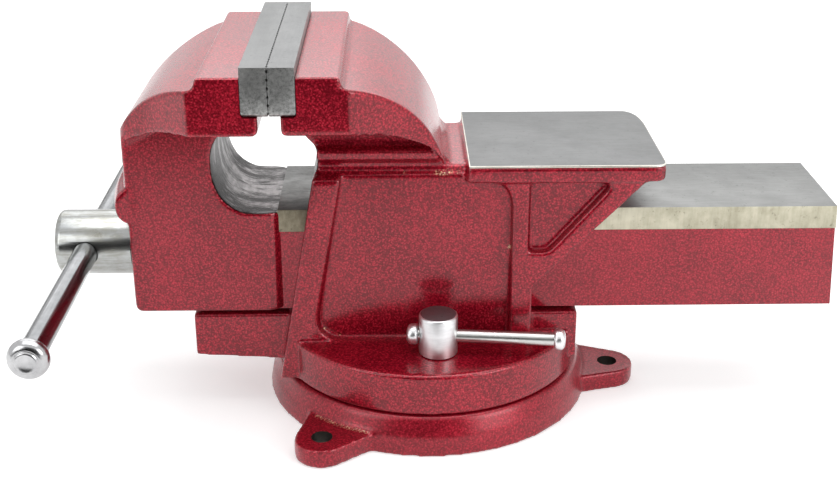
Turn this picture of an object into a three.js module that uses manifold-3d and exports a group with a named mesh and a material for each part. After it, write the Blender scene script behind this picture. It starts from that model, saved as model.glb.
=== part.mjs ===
// A bench vise on a swivel base, with an anvil behind its fixed jaw.
// Millimetres. X runs along the slide, Y across the jaws and Z up.
// The origin is the swivel axis on the bench.
import * as THREE from 'three';
import { mergeVertices } from 'three/addons/utils/BufferGeometryUtils.js';
import Module from 'manifold-3d';

// Fits and cutters
const slack = 0.3;
const slideSlack = 0.4;
const overrun = 4;

// Jaws
const jawWidth = 150;
const jawLineX = -84.5;
const plateThickness = 14.5;
const plateHeight = 27;
const plateRise = 5.5;
const plateCornerRadius = 3;
const headTopZ = 212.5;
const headThickness = 31.5;
const headTopReach = 37;
const headSideReach = 42.5;
const headStepWidth = 1.5;
const headStepDrop = 6;
const lipReach = 6;
const lipBevel = 3;
const domeRadius = 67;
const domeCentreReach = 27.1;
const domeFootRise = 2;
const rearHeadEndHalfWidth = 50;

// Plate screws
const plateScrewRadius = 4;
const plateScrewHeadRadius = 7;
const plateScrewHeadHeight = 6;
const plateScrewSunk = 1;
const plateScrewGrip = 18;
const plateScrewWidthShare = 0.3;

// Throat between the jaws
const throatScoop = 1;
const frontThroatReach = 36.8;
const rearThroatReach = 22.1;

// Moving jaw body and slide
const slideHalfWidth = 36.5;
const slideHeight = 61.8;
const slideRise = 16;
const slideEndX = 234.8;
const slideEndDraft = 3.3;
const channelSideWall = 16.5;
const channelRoofThickness = 14;
const frontBodyStep = 3.5;
const frontBodyEndReach = 1.5;
const noseReach = 89.9;
const noseSag = 5.1;
const noseCornerBevel = 4;
const noseWall = 25;
const beadHeight = 20;
const beadReach = 5.5;
const beadGap = 9.4;

// Spindle and its T-bar
const spindleRise = 27.8;
const spindleHeadRadius = 19.3;
const spindleHeadLength = 46;
const spindleHeadRound = 3;
const spindleSeatDepth = 1.6;
const screwRadius = 12;
const screwLength = 325;
const washerThickness = 3;
const collarRadius = 17;
const collarLength = 12;
const collarPinRadius = 2.5;
const barRadius = 7;
const barHalfLength = 153;
const barCapRadius = 10.8;
const barCapLength = 10;
const barTenonRadius = 5;
const barHoleShare = 0.4;

// Spindle nut and its bolts
const nutLength = 36;
const nutSideGap = 3;
const nutX = -40;
const nutTopReach = 16.5;
const nutBoltRadius = 4;
const nutBoltHeadRadius = 6.5;
const nutBoltHeadHeight = 8;
const nutBoltSpacing = 20;
const nutBoltGrip = 8;

// Fixed jaw body
const discRadius = 90.5;
const discThickness = 25.1;
const discTopRound = 3;
const discBottomBevel = 1.2;
const pivotRadius = 18;
const pivotDepth = 12;
const boxWall = 5.1;
const boxRoof = 22.6;
const ribRise = 6;
const bodyEndX = 58.5;
const bodyFootDepth = 17.2;
const bodyFootReach = 1.5;
const leftRibWidth = 15.5;
const rightRibWidth = 12.5;
const neckInset = 2;
const neckOverlap = 1;
const neckRootDepth = 4.6;
const saddleRise = 5;
const saddleRun = 5;
const saddleStep = 5;
const tongueEndX = -137;
const tongueGap = 2.7;
const tongueDepth = 16.2;
const tongueEndRise = 3;
const tongueStep = 1.5;
const floorEndX = 86.3;

// Anvil
const anvilRise = 7;
const anvilThickness = 10;
const anvilHalfWidth = 50;
const anvilStartX = 21;
const anvilEndX = 130.5;
const anvilCornerRadius = 7;
const gussetInset = 10;
const gussetDrop = 64;
const gussetBand = 15.5;
const pocketDepth = 6;
const pocketDrop = 42;

// Swivel base
const baseHeight = 21.8;
const baseTopLedge = 1;
const baseFlare = 6;
const baseDraft = 2;
const baseEdge = 1.2;
const slotRadius = 61.5;
const slotHalfWidth = 5.5;
const slotHeadHalfWidth = 9.5;
const slotFloorZ = 5;
const slotLipZ = 14;
const slotWindowRadius = 11;
const slotWindowAngle = 45;
const lugCount = 3;
const lugCircleRadius = 111.2;
const lugAngle = -3.46;
const lugTipRadius = 15.5;
const lugRootHalfWidth = 27;
const lugRootInset = 12;
const lugHeight = 11;
const lugHoleRadius = 6;

// Swivel lock: bolts, nuts and small T-bars
const lockBoltAngle = -85.9;
const lockBoltRadius = 5;
const lockHeadHalfWidth = 7.5;
const lockHeadHeight = 7;
const lockNutRadius = 11;
const lockNutHeight = 24;
const lockNutBevel = 1;
const lockBoreDepth = 5.6;
const lockBarRise = 10.8;
const lockBarRadius = 3.5;
const lockTenonRadius = 2.3;
const lockBarReach = 65.2;
const lockCapRadius = 6;
const lockCapLength = 6.6;
const lockCapRound = 1.2;
const lockBarTurn = -5.8;

const discSegments = 60;
const roundSegments = 32;
const smallSegments = 20;
const curveSegments = 10;

// Heights, from the bench up
const discBottomZ = baseHeight + slack;
const discTopZ = discBottomZ + discThickness;
const bodyFootZ = discTopZ - bodyFootDepth;
const slideBottomZ = discTopZ + slideRise;
const slideTopZ = slideBottomZ + slideHeight;
const spindleZ = slideBottomZ + spindleRise;
const beadZ = spindleZ + spindleHeadRadius + beadGap + beadHeight / 2;
const tongueTopZ = slideBottomZ - tongueGap;
const tongueBottomZ = discTopZ - tongueDepth;
const throatFloorZ = slideTopZ - throatScoop;
const bodyTopZ = slideTopZ + slideSlack + boxRoof;
const saddleZ = bodyTopZ + saddleRise;
const anvilTopZ = bodyTopZ + anvilRise;
const gussetFootZ = anvilTopZ - anvilThickness - gussetDrop;
const pocketFootZ = anvilTopZ - anvilThickness - pocketDrop;
const domeFootZ = anvilTopZ + domeFootRise;
const headBottomZ = headTopZ - headThickness;
const plateTopZ = headTopZ + plateRise;
const plateBottomZ = plateTopZ - plateHeight;

// Widths and lengths that follow one another
const baseTopRadius = discRadius + baseTopLedge;
const baseRadius = baseTopRadius + baseFlare;
const frontBodyHalfWidth = slideHalfWidth + frontBodyStep;
const channelHalfWidth = slideHalfWidth - channelSideWall;
const nutHalfWidth = channelHalfWidth - nutSideGap;
const tongueHalfWidth = slideHalfWidth + tongueStep;
const panelHalfWidth = slideHalfWidth + slideSlack + boxWall;
const neckHalfWidth = panelHalfWidth - neckInset;
const saddleHalfWidth = panelHalfWidth + saddleStep;
const neckEndX = anvilStartX + neckOverlap;
const gussetEndX = anvilEndX - gussetInset;

const wasm = await Module();
wasm.setup();

// Turns a closed geometry into a solid with its faces pointing out.
function solid(geometry) {
  const bare = new THREE.BufferGeometry();
  bare.setAttribute('position', geometry.getAttribute('position').clone());
  if (geometry.index) {
    bare.setIndex(geometry.index.clone());
  }
  const merged = mergeVertices(bare, 1e-4);
  const points = merged.getAttribute('position');
  const corners = [];
  const [a, b, c] = [new THREE.Vector3(), new THREE.Vector3(), new THREE.Vector3()];
  let volume = 0;
  for (let i = 0; i < merged.index.count; i += 3) {
    const [p, q, r] = [0, 1, 2].map((step) => merged.index.getX(i + step));
    if (p === q || q === r || r === p) {
      continue;
    }
    corners.push([p, q, r]);
    a.fromBufferAttribute(points, p);
    b.fromBufferAttribute(points, q);
    c.fromBufferAttribute(points, r);
    volume += a.dot(b.cross(c));
  }
  const facing = volume < 0 ? corners.map(([p, q, r]) => [p, r, q]) : corners;
  return new wasm.Manifold(new wasm.Mesh({
    numProp: 3,
    vertProperties: new Float32Array(points.array),
    triVerts: new Uint32Array(facing.flat()),
  }));
}

// Turns a solid back into a geometry with flat-shaded faces.
function geometryOf(body) {
  const mesh = body.getMesh();
  const geometry = new THREE.BufferGeometry();
  geometry.setAttribute('position', new THREE.BufferAttribute(new Float32Array(mesh.vertProperties), 3));
  geometry.setIndex(new THREE.BufferAttribute(new Uint32Array(mesh.triVerts), 1));
  geometry.computeVertexNormals();
  return geometry;
}

function shapeOf(points) {
  return new THREE.Shape(points.map(([x, y]) => new THREE.Vector2(x, y)));
}

// A plan outline in X and Y, standing from one height to another.
function upright(shape, bottom, top) {
  const geometry = new THREE.ExtrudeGeometry(shape, {
    depth: top - bottom,
    bevelEnabled: false,
    curveSegments,
  });
  geometry.translate(0, 0, bottom);
  return solid(geometry);
}

// A side outline in X and Z, from one Y to another.
function across(shape, near, far) {
  const geometry = new THREE.ExtrudeGeometry(shape, {
    depth: far - near,
    bevelEnabled: false,
    curveSegments,
  });
  geometry.rotateX(Math.PI / 2);
  geometry.translate(0, far, 0);
  return solid(geometry);
}

function block(x0, x1, y0, y1, z0, z1) {
  const geometry = new THREE.BoxGeometry(x1 - x0, y1 - y0, z1 - z0);
  geometry.translate((x0 + x1) / 2, (y0 + y1) / 2, (z0 + z1) / 2);
  return solid(geometry);
}

// A profile of radius and height turned about Z.
function turned(profile, segments) {
  const points = profile.map(([radius, height]) => new THREE.Vector2(radius, height));
  const geometry = new THREE.LatheGeometry(points, segments);
  geometry.rotateX(Math.PI / 2);
  return solid(geometry);
}

// The same, with the profile's height lying along X.
function turnedAlongX(profile, segments) {
  const geometry = geometryOf(turned(profile, segments));
  geometry.rotateY(Math.PI / 2);
  return solid(geometry);
}

function rod(radius, bottom, top, segments = smallSegments) {
  return turned([[0, bottom], [radius, bottom], [radius, top], [0, top]], segments);
}

function rodAlongX(radius, start, end, segments = smallSegments) {
  return turnedAlongX([[0, start], [radius, start], [radius, end], [0, end]], segments);
}

function rodAlongY(radius, start, end, segments = smallSegments) {
  const geometry = geometryOf(rod(radius, start, end, segments));
  geometry.rotateX(-Math.PI / 2);
  return solid(geometry);
}

function joined(bodies) {
  return bodies.reduce((sum, body) => sum.add(body));
}

function cut(body, cutters) {
  return cutters.reduce((rest, cutter) => rest.subtract(cutter), body);
}

const vise = new THREE.Group();

function paint(colour, roughness, metalness) {
  return new THREE.MeshStandardMaterial({ color: colour, roughness, metalness });
}

function add(parent, name, body, material) {
  const mesh = new THREE.Mesh(geometryOf(body), material);
  mesh.name = name;
  parent.add(mesh);
  return mesh;
}

const redPaint = () => paint(0x9c2c3c, 0.45, 0.1);
const groundSteel = () => paint(0x8c8e8c, 0.45, 0.9);
const chrome = () => paint(0xd8dadc, 0.12, 1);
const satinChrome = () => paint(0xb9bcc0, 0.28, 1);
const blackSteel = () => paint(0x3a3a3c, 0.5, 0.8);
const bronze = () => paint(0xa87c3c, 0.4, 0.9);

// Jaw heads. Both are the same shape, mirrored about the line where the jaws meet,
// so their outlines are drawn by reach: the distance from that line.

function atReach(reach, side) {
  return jawLineX + side * reach;
}

function domeReachAt(z) {
  return domeCentreReach + Math.sqrt(domeRadius ** 2 - (z - domeCentreZ()) ** 2);
}

// The dome starts where the step below the flat head top ends.
function domeCentreZ() {
  const run = headTopReach + headStepWidth - domeCentreReach;
  return headTopZ - headStepDrop - Math.sqrt(domeRadius ** 2 - run ** 2);
}

function domePoints(count) {
  const start = Math.acos((headTopReach + headStepWidth - domeCentreReach) / domeRadius);
  const end = Math.asin((domeFootZ - domeCentreZ()) / domeRadius);
  const points = [];
  for (let i = 0; i <= count; i += 1) {
    const angle = start + ((end - start) * i) / count;
    points.push([
      domeCentreReach + domeRadius * Math.cos(angle),
      domeCentreZ() + domeRadius * Math.sin(angle),
    ]);
  }
  return points;
}

// How far the underside has come from the head's side to the dome's foot, and how far down.
const undersideShares = [[0.85, 0.62], [0.6, 0.33], [0.35, 0.13]];

// Points of the underside, or of what runs up into the head by a lift.
function undersidePoints(lift) {
  const run = domeReachAt(domeFootZ) - headSideReach;
  return undersideShares.map(([out, down]) => [
    headSideReach + run * out,
    headBottomZ - (headBottomZ - domeFootZ) * down + lift,
  ]);
}

function headOutline(side) {
  const points = [
    [lipReach, headBottomZ + lipBevel],
    [lipReach, plateBottomZ],
    [plateThickness, plateBottomZ],
    [plateThickness, headTopZ],
    [headTopReach, headTopZ],
    ...domePoints(10),
    ...undersidePoints(0),
    [headSideReach, headBottomZ],
    [lipReach + lipBevel, headBottomZ],
  ];
  return shapeOf(points.map(([reach, z]) => [atReach(reach, side), z]));
}

// Plan of the head: full width at the jaw, drawn in towards its end, which follows
// the nose on the moving jaw and is cut square on the fixed one.
const headPlanShares = [[0.5, 0.42], [0.8, 0.13], [1, 0]];

function headPlan(side) {
  const [endReach, endHalfWidth] = side < 0
    ? [noseReach - noseSag, frontBodyHalfWidth]
    : [domeReachAt(domeFootZ), rearHeadEndHalfWidth];
  const half = [
    [0, jawWidth / 2],
    [headSideReach, jawWidth / 2],
    ...headPlanShares.map(([out, width]) => [
      headSideReach + (endReach - headSideReach) * out,
      endHalfWidth + (jawWidth / 2 - endHalfWidth) * width,
    ]),
  ];
  const far = half.map(([reach, y]) => [atReach(reach, side), y]);
  const near = half.map(([reach, y]) => [atReach(reach, side), -y]).reverse();
  const end = side < 0 ? noseArc(frontBodyHalfWidth).slice(1, -1) : [];
  return shapeOf([...far, ...end, ...near]);
}

function head(side) {
  const reach = jawWidth / 2;
  const profile = across(headOutline(side), -reach, reach);
  return profile.intersect(upright(headPlan(side), throatFloorZ, headTopZ + overrun));
}

// Jaw plates, held by two screws each.

const plateMiddleZ = (plateBottomZ + slack + plateTopZ) / 2;
const plateScrewYs = [-jawWidth * plateScrewWidthShare, jawWidth * plateScrewWidthShare];

function jawPlate(side) {
  const half = jawWidth / 2;
  const bottom = plateBottomZ + slack;
  const outline = shapeOf([
    [-half + plateCornerRadius, bottom],
    [half - plateCornerRadius, bottom],
    [half, bottom + plateCornerRadius],
    [half, plateTopZ],
    [-half, plateTopZ],
    [-half, bottom + plateCornerRadius],
  ]);
  const thickness = plateThickness - slack - slack / 2;
  const geometry = new THREE.ExtrudeGeometry(outline, { depth: thickness, bevelEnabled: false });
  geometry.rotateX(Math.PI / 2);
  geometry.rotateZ(Math.PI / 2);
  geometry.translate(side > 0 ? jawLineX + slack / 2 : jawLineX - slack / 2 - thickness, 0, 0);
  const holes = plateScrewYs.map((y) => plateScrew(side, slack).translate([0, y, 0]));
  return cut(solid(geometry), holes);
}

// A socket screw from the jaw face, or the hole for it with room all round.
function plateScrew(side, room) {
  const face = plateScrewSunk - (room > 0 ? plateScrewSunk + overrun : 0);
  const headEnd = plateScrewSunk + plateScrewHeadHeight + room;
  const tip = plateThickness + plateScrewGrip + room;
  const profile = [
    [0, face],
    [plateScrewHeadRadius + room, face],
    [plateScrewHeadRadius + room, headEnd],
    [plateScrewRadius + room, headEnd],
    [plateScrewRadius + room, tip],
    [0, tip],
  ];
  const screw = turnedAlongX(profile, smallSegments);
  const facing = side > 0 ? screw : screw.mirror([1, 0, 0]);
  return facing.translate([jawLineX, 0, plateMiddleZ]);
}

// Moving jaw: head, body with its rounded nose, and the slide.

const noseX = atReach(noseReach, -1);
const frontBodyEndX = atReach(frontBodyEndReach, -1);
const frontThroatShares = [
  [0.37, 0], [0.62, 0.03], [0.85, 0.15], [0.97, 0.32], [1, 0.5], [0.97, 0.67], [0.83, 0.82], [0.53, 0.95],
];

function throatPoint(side, reach, [out, up]) {
  return [atReach(reach * out, side), throatFloorZ + (headBottomZ - throatFloorZ) * up];
}

function frontBodyOutline() {
  const throat = frontThroatShares.map((share) => throatPoint(-1, frontThroatReach, share));
  return shapeOf([
    [noseX + noseCornerBevel, slideBottomZ],
    [frontBodyEndX, slideBottomZ],
    [frontBodyEndX, throatFloorZ],
    ...throat,
    [atReach(lipReach + lipBevel, -1), headBottomZ],
    [atReach(headSideReach, -1), headBottomZ + lipBevel],
    ...undersidePoints(lipBevel).reverse().map(([reach, z]) => [atReach(reach, -1), z]),
    [noseX, domeFootZ + lipBevel],
    [noseX, slideBottomZ + noseCornerBevel],
  ]);
}

// Plan of the nose: a shallow arc across the front of the body.
function noseArc(halfWidth) {
  const count = 12;
  const front = [];
  for (let i = 0; i <= count; i += 1) {
    const share = 1 - (2 * i) / count;
    front.push([noseX + noseSag * share ** 2, halfWidth * share]);
  }
  return front;
}

function nosePlan(halfWidth) {
  return [...noseArc(halfWidth), [frontBodyEndX, -halfWidth], [frontBodyEndX, halfWidth]];
}

function noseBead() {
  const outline = shapeOf(nosePlan(frontBodyHalfWidth));
  const geometry = new THREE.ExtrudeGeometry(outline, {
    depth: slack,
    bevelThickness: beadHeight / 2,
    bevelSize: beadReach,
    bevelSegments: 5,
  });
  geometry.translate(0, 0, beadZ);
  const trim = block(
    noseX - beadReach - overrun, noseX + noseWall, -frontBodyHalfWidth, frontBodyHalfWidth,
    beadZ - beadHeight, beadZ + beadHeight,
  );
  return solid(geometry).intersect(trim);
}

function slide() {
  const outline = shapeOf([
    [frontBodyEndX - noseWall, slideBottomZ],
    [slideEndX, slideBottomZ],
    [slideEndX - slideEndDraft, slideTopZ],
    [frontBodyEndX - noseWall, slideTopZ],
  ]);
  return across(outline, -slideHalfWidth, slideHalfWidth);
}

const spindleSeatX = noseX + spindleSeatDepth;
const channelStartX = spindleSeatX + noseWall;

function slidingJaw() {
  const frontBody = across(frontBodyOutline(), -frontBodyHalfWidth, frontBodyHalfWidth)
    .intersect(upright(shapeOf(nosePlan(frontBodyHalfWidth)), slideBottomZ, headTopZ));
  const throatClear = cut(slide(), [block(
    atReach(frontThroatReach, -1), frontBodyEndX, -slideHalfWidth - overrun, slideHalfWidth + overrun,
    throatFloorZ, slideTopZ + overrun,
  )]);
  const channel = block(
    channelStartX, slideEndX + overrun, -channelHalfWidth, channelHalfWidth,
    slideBottomZ - overrun, slideTopZ - channelRoofThickness,
  );
  const bore = rodAlongX(screwRadius + slideSlack, noseX - overrun, channelStartX + overrun)
    .translate([0, 0, spindleZ]);
  const seat = rodAlongX(spindleHeadRadius + slack, noseX - overrun, spindleSeatX, roundSegments)
    .translate([0, 0, spindleZ]);
  const screwHoles = plateScrewYs.map((y) => plateScrew(-1, slack).translate([0, y, 0]));
  const casting = joined([head(-1), frontBody, noseBead(), throatClear]);
  return cut(casting, [channel, bore, seat, ...screwHoles]);
}

// Fixed jaw: disc, slide box with ribs, neck, head, anvil and the tongue in front.

const rearThroatUpperShares = [[0.48, 0.91], [0.76, 0.78], [0.96, 0.69], [1, 0.54]];
const rearThroatLowerShares = [[0.92, 0.34], [0.78, 0.18]];
const rearThroatUpper = rearThroatUpperShares.map((share) => throatPoint(1, rearThroatReach, share));
const rearThroatLower = rearThroatLowerShares.map((share) => throatPoint(1, rearThroatReach, share));
const footX = atReach(bodyFootReach, -1);

function frontEdgeXAt(z) {
  const [topX, topZ] = rearThroatLower.at(-1);
  return footX + ((topX - footX) * (z - bodyFootZ)) / (topZ - bodyFootZ);
}

function boxOutline() {
  return shapeOf([
    [footX, bodyFootZ],
    [bodyEndX, bodyFootZ],
    [bodyEndX, bodyTopZ],
    [atReach(rearThroatReach, 1), bodyTopZ],
    ...rearThroatLower,
  ]);
}

function neckOutline() {
  return shapeOf([
    ...rearThroatUpper,
    [atReach(rearThroatReach, 1), bodyTopZ - neckRootDepth],
    [neckEndX, bodyTopZ - neckRootDepth],
    [neckEndX, saddleZ],
    [atReach(domeReachAt(saddleZ) - slack, 1), saddleZ],
    [atReach(domeReachAt(domeFootZ) - slack, 1), domeFootZ],
    ...undersidePoints(lipBevel).map(([reach, z]) => [atReach(reach, 1), z]),
    [atReach(headSideReach, 1), headBottomZ + lipBevel],
    [atReach(lipReach + lipBevel, 1), headBottomZ],
  ]);
}

// A rib of constant width down the front edge, and a straight one near the rear end.
function ribs(side) {
  const near = side * (panelHalfWidth - overrun);
  const far = side * (panelHalfWidth + ribRise);
  const front = shapeOf([
    [footX, bodyFootZ],
    [footX + leftRibWidth, bodyFootZ],
    [frontEdgeXAt(bodyTopZ) + leftRibWidth, bodyTopZ],
    [frontEdgeXAt(bodyTopZ), bodyTopZ],
  ]);
  const rear = shapeOf([
    [bodyEndX - rightRibWidth, bodyFootZ],
    [bodyEndX, bodyFootZ],
    [bodyEndX, bodyTopZ],
    [bodyEndX - rightRibWidth, bodyTopZ],
  ]);
  return [front, rear].map((outline) => across(outline, Math.min(near, far), Math.max(near, far)));
}

function anvil() {
  const plan = new THREE.Shape();
  const r = anvilCornerRadius;
  plan.moveTo(anvilStartX, -anvilHalfWidth);
  plan.lineTo(anvilEndX - r, -anvilHalfWidth);
  plan.quadraticCurveTo(anvilEndX, -anvilHalfWidth, anvilEndX, -anvilHalfWidth + r);
  plan.lineTo(anvilEndX, anvilHalfWidth - r);
  plan.quadraticCurveTo(anvilEndX, anvilHalfWidth, anvilEndX - r, anvilHalfWidth);
  plan.lineTo(anvilStartX, anvilHalfWidth);
  return upright(plan, anvilTopZ - anvilThickness, anvilTopZ);
}

function gusset() {
  const top = anvilTopZ - anvilThickness / 2;
  const half = panelHalfWidth + ribRise;
  const outline = shapeOf([
    [bodyEndX - rightRibWidth, gussetFootZ],
    [bodyEndX, gussetFootZ],
    [gussetEndX, anvilTopZ - anvilThickness],
    [gussetEndX, top],
    [bodyEndX - rightRibWidth, top],
  ]);
  return across(outline, -half, half);
}

const pocketStartShare = 0.25;

function pocket(side) {
  const half = panelHalfWidth + ribRise;
  const top = anvilTopZ - anvilThickness;
  const slope = (gussetEndX - bodyEndX) / (top - gussetFootZ);
  const innerEdgeX = (z) => bodyEndX + (z - gussetFootZ) * slope - gussetBand;
  const left = bodyEndX - rightRibWidth * pocketStartShare;
  const outline = shapeOf([
    [left, top - slack],
    [left, pocketFootZ],
    [Math.max(innerEdgeX(pocketFootZ), left + slack), pocketFootZ],
    [innerEdgeX(top - slack), top - slack],
  ]);
  const [inner, outer] = [side * (half - pocketDepth), side * (half + overrun)];
  return across(outline, Math.min(inner, outer), Math.max(inner, outer));
}

// The tongue in front and the floor behind it are one block through the disc.
function floorBlock() {
  const outline = shapeOf([
    [tongueEndX, tongueBottomZ + tongueEndRise],
    [footX, tongueBottomZ],
    [floorEndX, tongueBottomZ],
    [floorEndX, tongueTopZ],
    [tongueEndX, tongueTopZ],
  ]);
  return across(outline, -tongueHalfWidth, tongueHalfWidth);
}

function lockPosition(turn) {
  const angle = THREE.MathUtils.degToRad(lockBoltAngle + turn);
  return [slotRadius * Math.cos(angle), slotRadius * Math.sin(angle), 0];
}

const nutBoltXs = [nutX - nutBoltSpacing / 2, nutX + nutBoltSpacing / 2];
const boxFloorZ = slideBottomZ - slideSlack;

function nutBolt(room) {
  const start = room > 0 ? discBottomZ - overrun : discBottomZ + slack;
  const headEnd = discBottomZ + slack + nutBoltHeadHeight + room;
  const tip = boxFloorZ + slack + nutBoltGrip + room;
  return turned([
    [0, start],
    [nutBoltHeadRadius + room, start],
    [nutBoltHeadRadius + room, headEnd],
    [nutBoltRadius + room, headEnd],
    [nutBoltRadius + room, tip],
    [0, tip],
  ], smallSegments);
}

function staticJaw() {
  const disc = turned([
    [0, discBottomZ - pivotDepth],
    [pivotRadius, discBottomZ - pivotDepth],
    [pivotRadius, discBottomZ],
    [discRadius - discBottomBevel, discBottomZ],
    [discRadius, discBottomZ + discBottomBevel],
    [discRadius, discTopZ - discTopRound],
    [discRadius - discTopRound, discTopZ],
    [0, discTopZ],
  ], discSegments);
  const slideBox = across(boxOutline(), -panelHalfWidth, panelHalfWidth);
  const neck = across(neckOutline(), -neckHalfWidth, neckHalfWidth);
  const saddle = block(
    atReach(domeReachAt(domeFootZ), 1) - saddleRun, neckEndX, -saddleHalfWidth, saddleHalfWidth,
    bodyTopZ - overrun, saddleZ,
  );
  const slot = block(
    tongueEndX - overrun, gussetEndX + overrun, -slideHalfWidth - slideSlack, slideHalfWidth + slideSlack,
    boxFloorZ, slideTopZ + slideSlack,
  );
  const boltHoles = [0, 180].map((turn) => rod(
    lockBoltRadius + slack, discBottomZ - overrun, discTopZ + overrun,
  ).translate(lockPosition(turn)));
  const screwHoles = plateScrewYs.map((y) => plateScrew(1, slack).translate([0, y, 0]));
  const nutBolts = nutBoltXs.map((x) => nutBolt(slack).translate([x, 0, 0]));
  const casting = joined([
    disc, slideBox, neck, saddle, head(1), anvil(), gusset(), floorBlock(), ...ribs(-1), ...ribs(1),
  ]);
  return cut(casting, [slot, pocket(-1), pocket(1), ...boltHoles, ...screwHoles, ...nutBolts]);
}

function spindleNut() {
  const bottom = boxFloorZ + slack;
  const body = block(
    nutX - nutLength / 2, nutX + nutLength / 2, -nutHalfWidth, nutHalfWidth, bottom, spindleZ + nutTopReach,
  );
  const bore = rodAlongX(screwRadius + slack, nutX - nutLength, nutX + nutLength, roundSegments)
    .translate([0, 0, spindleZ]);
  return cut(body, [bore, ...nutBoltXs.map((x) => nutBolt(slack).translate([x, 0, 0]))]);
}

// Swivel base

function lug() {
  const plan = new THREE.Shape();
  const root = baseTopRadius - lugRootInset;
  const spread = Math.atan2(lugRootHalfWidth - lugTipRadius, lugCircleRadius - root);
  plan.moveTo(root, lugRootHalfWidth);
  plan.lineTo(root, -lugRootHalfWidth);
  plan.absarc(lugCircleRadius, 0, lugTipRadius, -Math.PI / 2 + spread, Math.PI / 2 - spread, false);
  return upright(plan, 0, lugHeight);
}

function swivelBase() {
  const top = discBottomZ - slack;
  const body = turned([
    [0, 0],
    [baseRadius, 0],
    [baseRadius - baseDraft, lugHeight],
    [baseTopRadius, top - baseEdge],
    [baseTopRadius - baseEdge, top],
    [0, top],
  ], discSegments);
  const slot = turned([
    [slotRadius - slotHeadHalfWidth, slotFloorZ],
    [slotRadius + slotHeadHalfWidth, slotFloorZ],
    [slotRadius + slotHeadHalfWidth, slotLipZ],
    [slotRadius + slotHalfWidth, slotLipZ],
    [slotRadius + slotHalfWidth, top + overrun],
    [slotRadius - slotHalfWidth, top + overrun],
    [slotRadius - slotHalfWidth, slotLipZ],
    [slotRadius - slotHeadHalfWidth, slotLipZ],
    [slotRadius - slotHeadHalfWidth, slotFloorZ],
  ], discSegments);
  const windowTurn = THREE.MathUtils.degToRad(slotWindowAngle);
  const slotWindow = rod(slotWindowRadius, slotFloorZ, top + overrun)
    .translate([slotRadius * Math.cos(windowTurn), slotRadius * Math.sin(windowTurn), 0]);
  const pivotBore = rod(pivotRadius + slack, discBottomZ - pivotDepth - slack, top + overrun, roundSegments);
  const lugs = [];
  const holes = [];
  for (let i = 0; i < lugCount; i += 1) {
    const turn = lugAngle + (360 * i) / lugCount;
    lugs.push(lug().rotate([0, 0, turn]));
    holes.push(rod(lugHoleRadius, -overrun, lugHeight + overrun).translate([lugCircleRadius, 0, 0])
      .rotate([0, 0, turn]));
  }
  return cut(joined([body, ...lugs]), [slot, slotWindow, pivotBore, ...holes]);
}

// Spindle, its collar and its T-bar

const roundMiddleShare = 0.3;
const headEndX = spindleSeatX - slack;
const headStartX = headEndX - spindleHeadLength;
const barX = headStartX + spindleHeadLength * barHoleShare;
const washerX = channelStartX + slack;
const collarX = washerX + washerThickness + slack;
const pinX = collarX + collarLength / 2;

function spindle() {
  const round = spindleHeadRound;
  const body = turnedAlongX([
    [0, headStartX],
    [spindleHeadRadius - round, headStartX],
    [spindleHeadRadius - round * roundMiddleShare, headStartX + round * roundMiddleShare],
    [spindleHeadRadius, headStartX + round],
    [spindleHeadRadius, headEndX - round],
    [spindleHeadRadius - round, headEndX],
    [screwRadius, headEndX],
    [screwRadius, headEndX + screwLength - round],
    [screwRadius - round, headEndX + screwLength],
    [0, headEndX + screwLength],
  ], roundSegments);
  const barHole = rodAlongY(barRadius + slack, -spindleHeadRadius - overrun, spindleHeadRadius + overrun)
    .translate([barX, 0, 0]);
  const pinHole = rodAlongY(collarPinRadius + slack, -screwRadius - overrun, screwRadius + overrun)
    .translate([pinX, 0, 0]);
  return cut(body, [barHole, pinHole]);
}

function ring(inner, outer, start, end) {
  const profile = [[inner, start], [outer, start], [outer, end], [inner, end], [inner, start]];
  return turnedAlongX(profile, roundSegments);
}

function collar() {
  const hole = rodAlongY(collarPinRadius + slack, -collarRadius - overrun, collarRadius + overrun)
    .translate([pinX, 0, 0]);
  return ring(screwRadius + slack, collarRadius, collarX, collarX + collarLength).subtract(hole);
}

// A bar along Y with a tenon at each end, and the cap that fits over a tenon.
function capProfile(radius, length, round, tenonRadius, tenonLength) {
  return [
    [0, tenonLength + slack],
    [tenonRadius + slack, tenonLength + slack],
    [tenonRadius + slack, slack],
    [radius - round, slack],
    [radius, slack + round],
    [radius, length - round],
    [radius - round, length],
    [0, length],
  ];
}

function spindleBar() {
  const shoulder = barHalfLength - barCapLength;
  const tenonEnd = barHalfLength - barCapLength / 2;
  const bar = turned([
    [0, -tenonEnd],
    [barTenonRadius, -tenonEnd],
    [barTenonRadius, -shoulder],
    [barRadius, -shoulder],
    [barRadius, shoulder],
    [barTenonRadius, shoulder],
    [barTenonRadius, tenonEnd],
    [0, tenonEnd],
  ], smallSegments);
  return solid(geometryOf(bar).rotateX(-Math.PI / 2));
}

function barCap() {
  const cap = turned(
    capProfile(barCapRadius, barCapLength, barCapRadius - barRadius, barTenonRadius, barCapLength / 2),
    roundSegments,
  );
  return solid(geometryOf(cap).rotateX(-Math.PI / 2));
}

// Swivel lock pieces, each about its own bolt axis

function lockBolt() {
  const headTop = slotLipZ - slack;
  const half = lockHeadHalfWidth;
  const tip = discTopZ + lockBoreDepth;
  const boltHead = block(-half, half, -half, half, headTop - lockHeadHeight, headTop);
  return boltHead.add(rod(lockBoltRadius, headTop - slack, tip));
}

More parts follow.
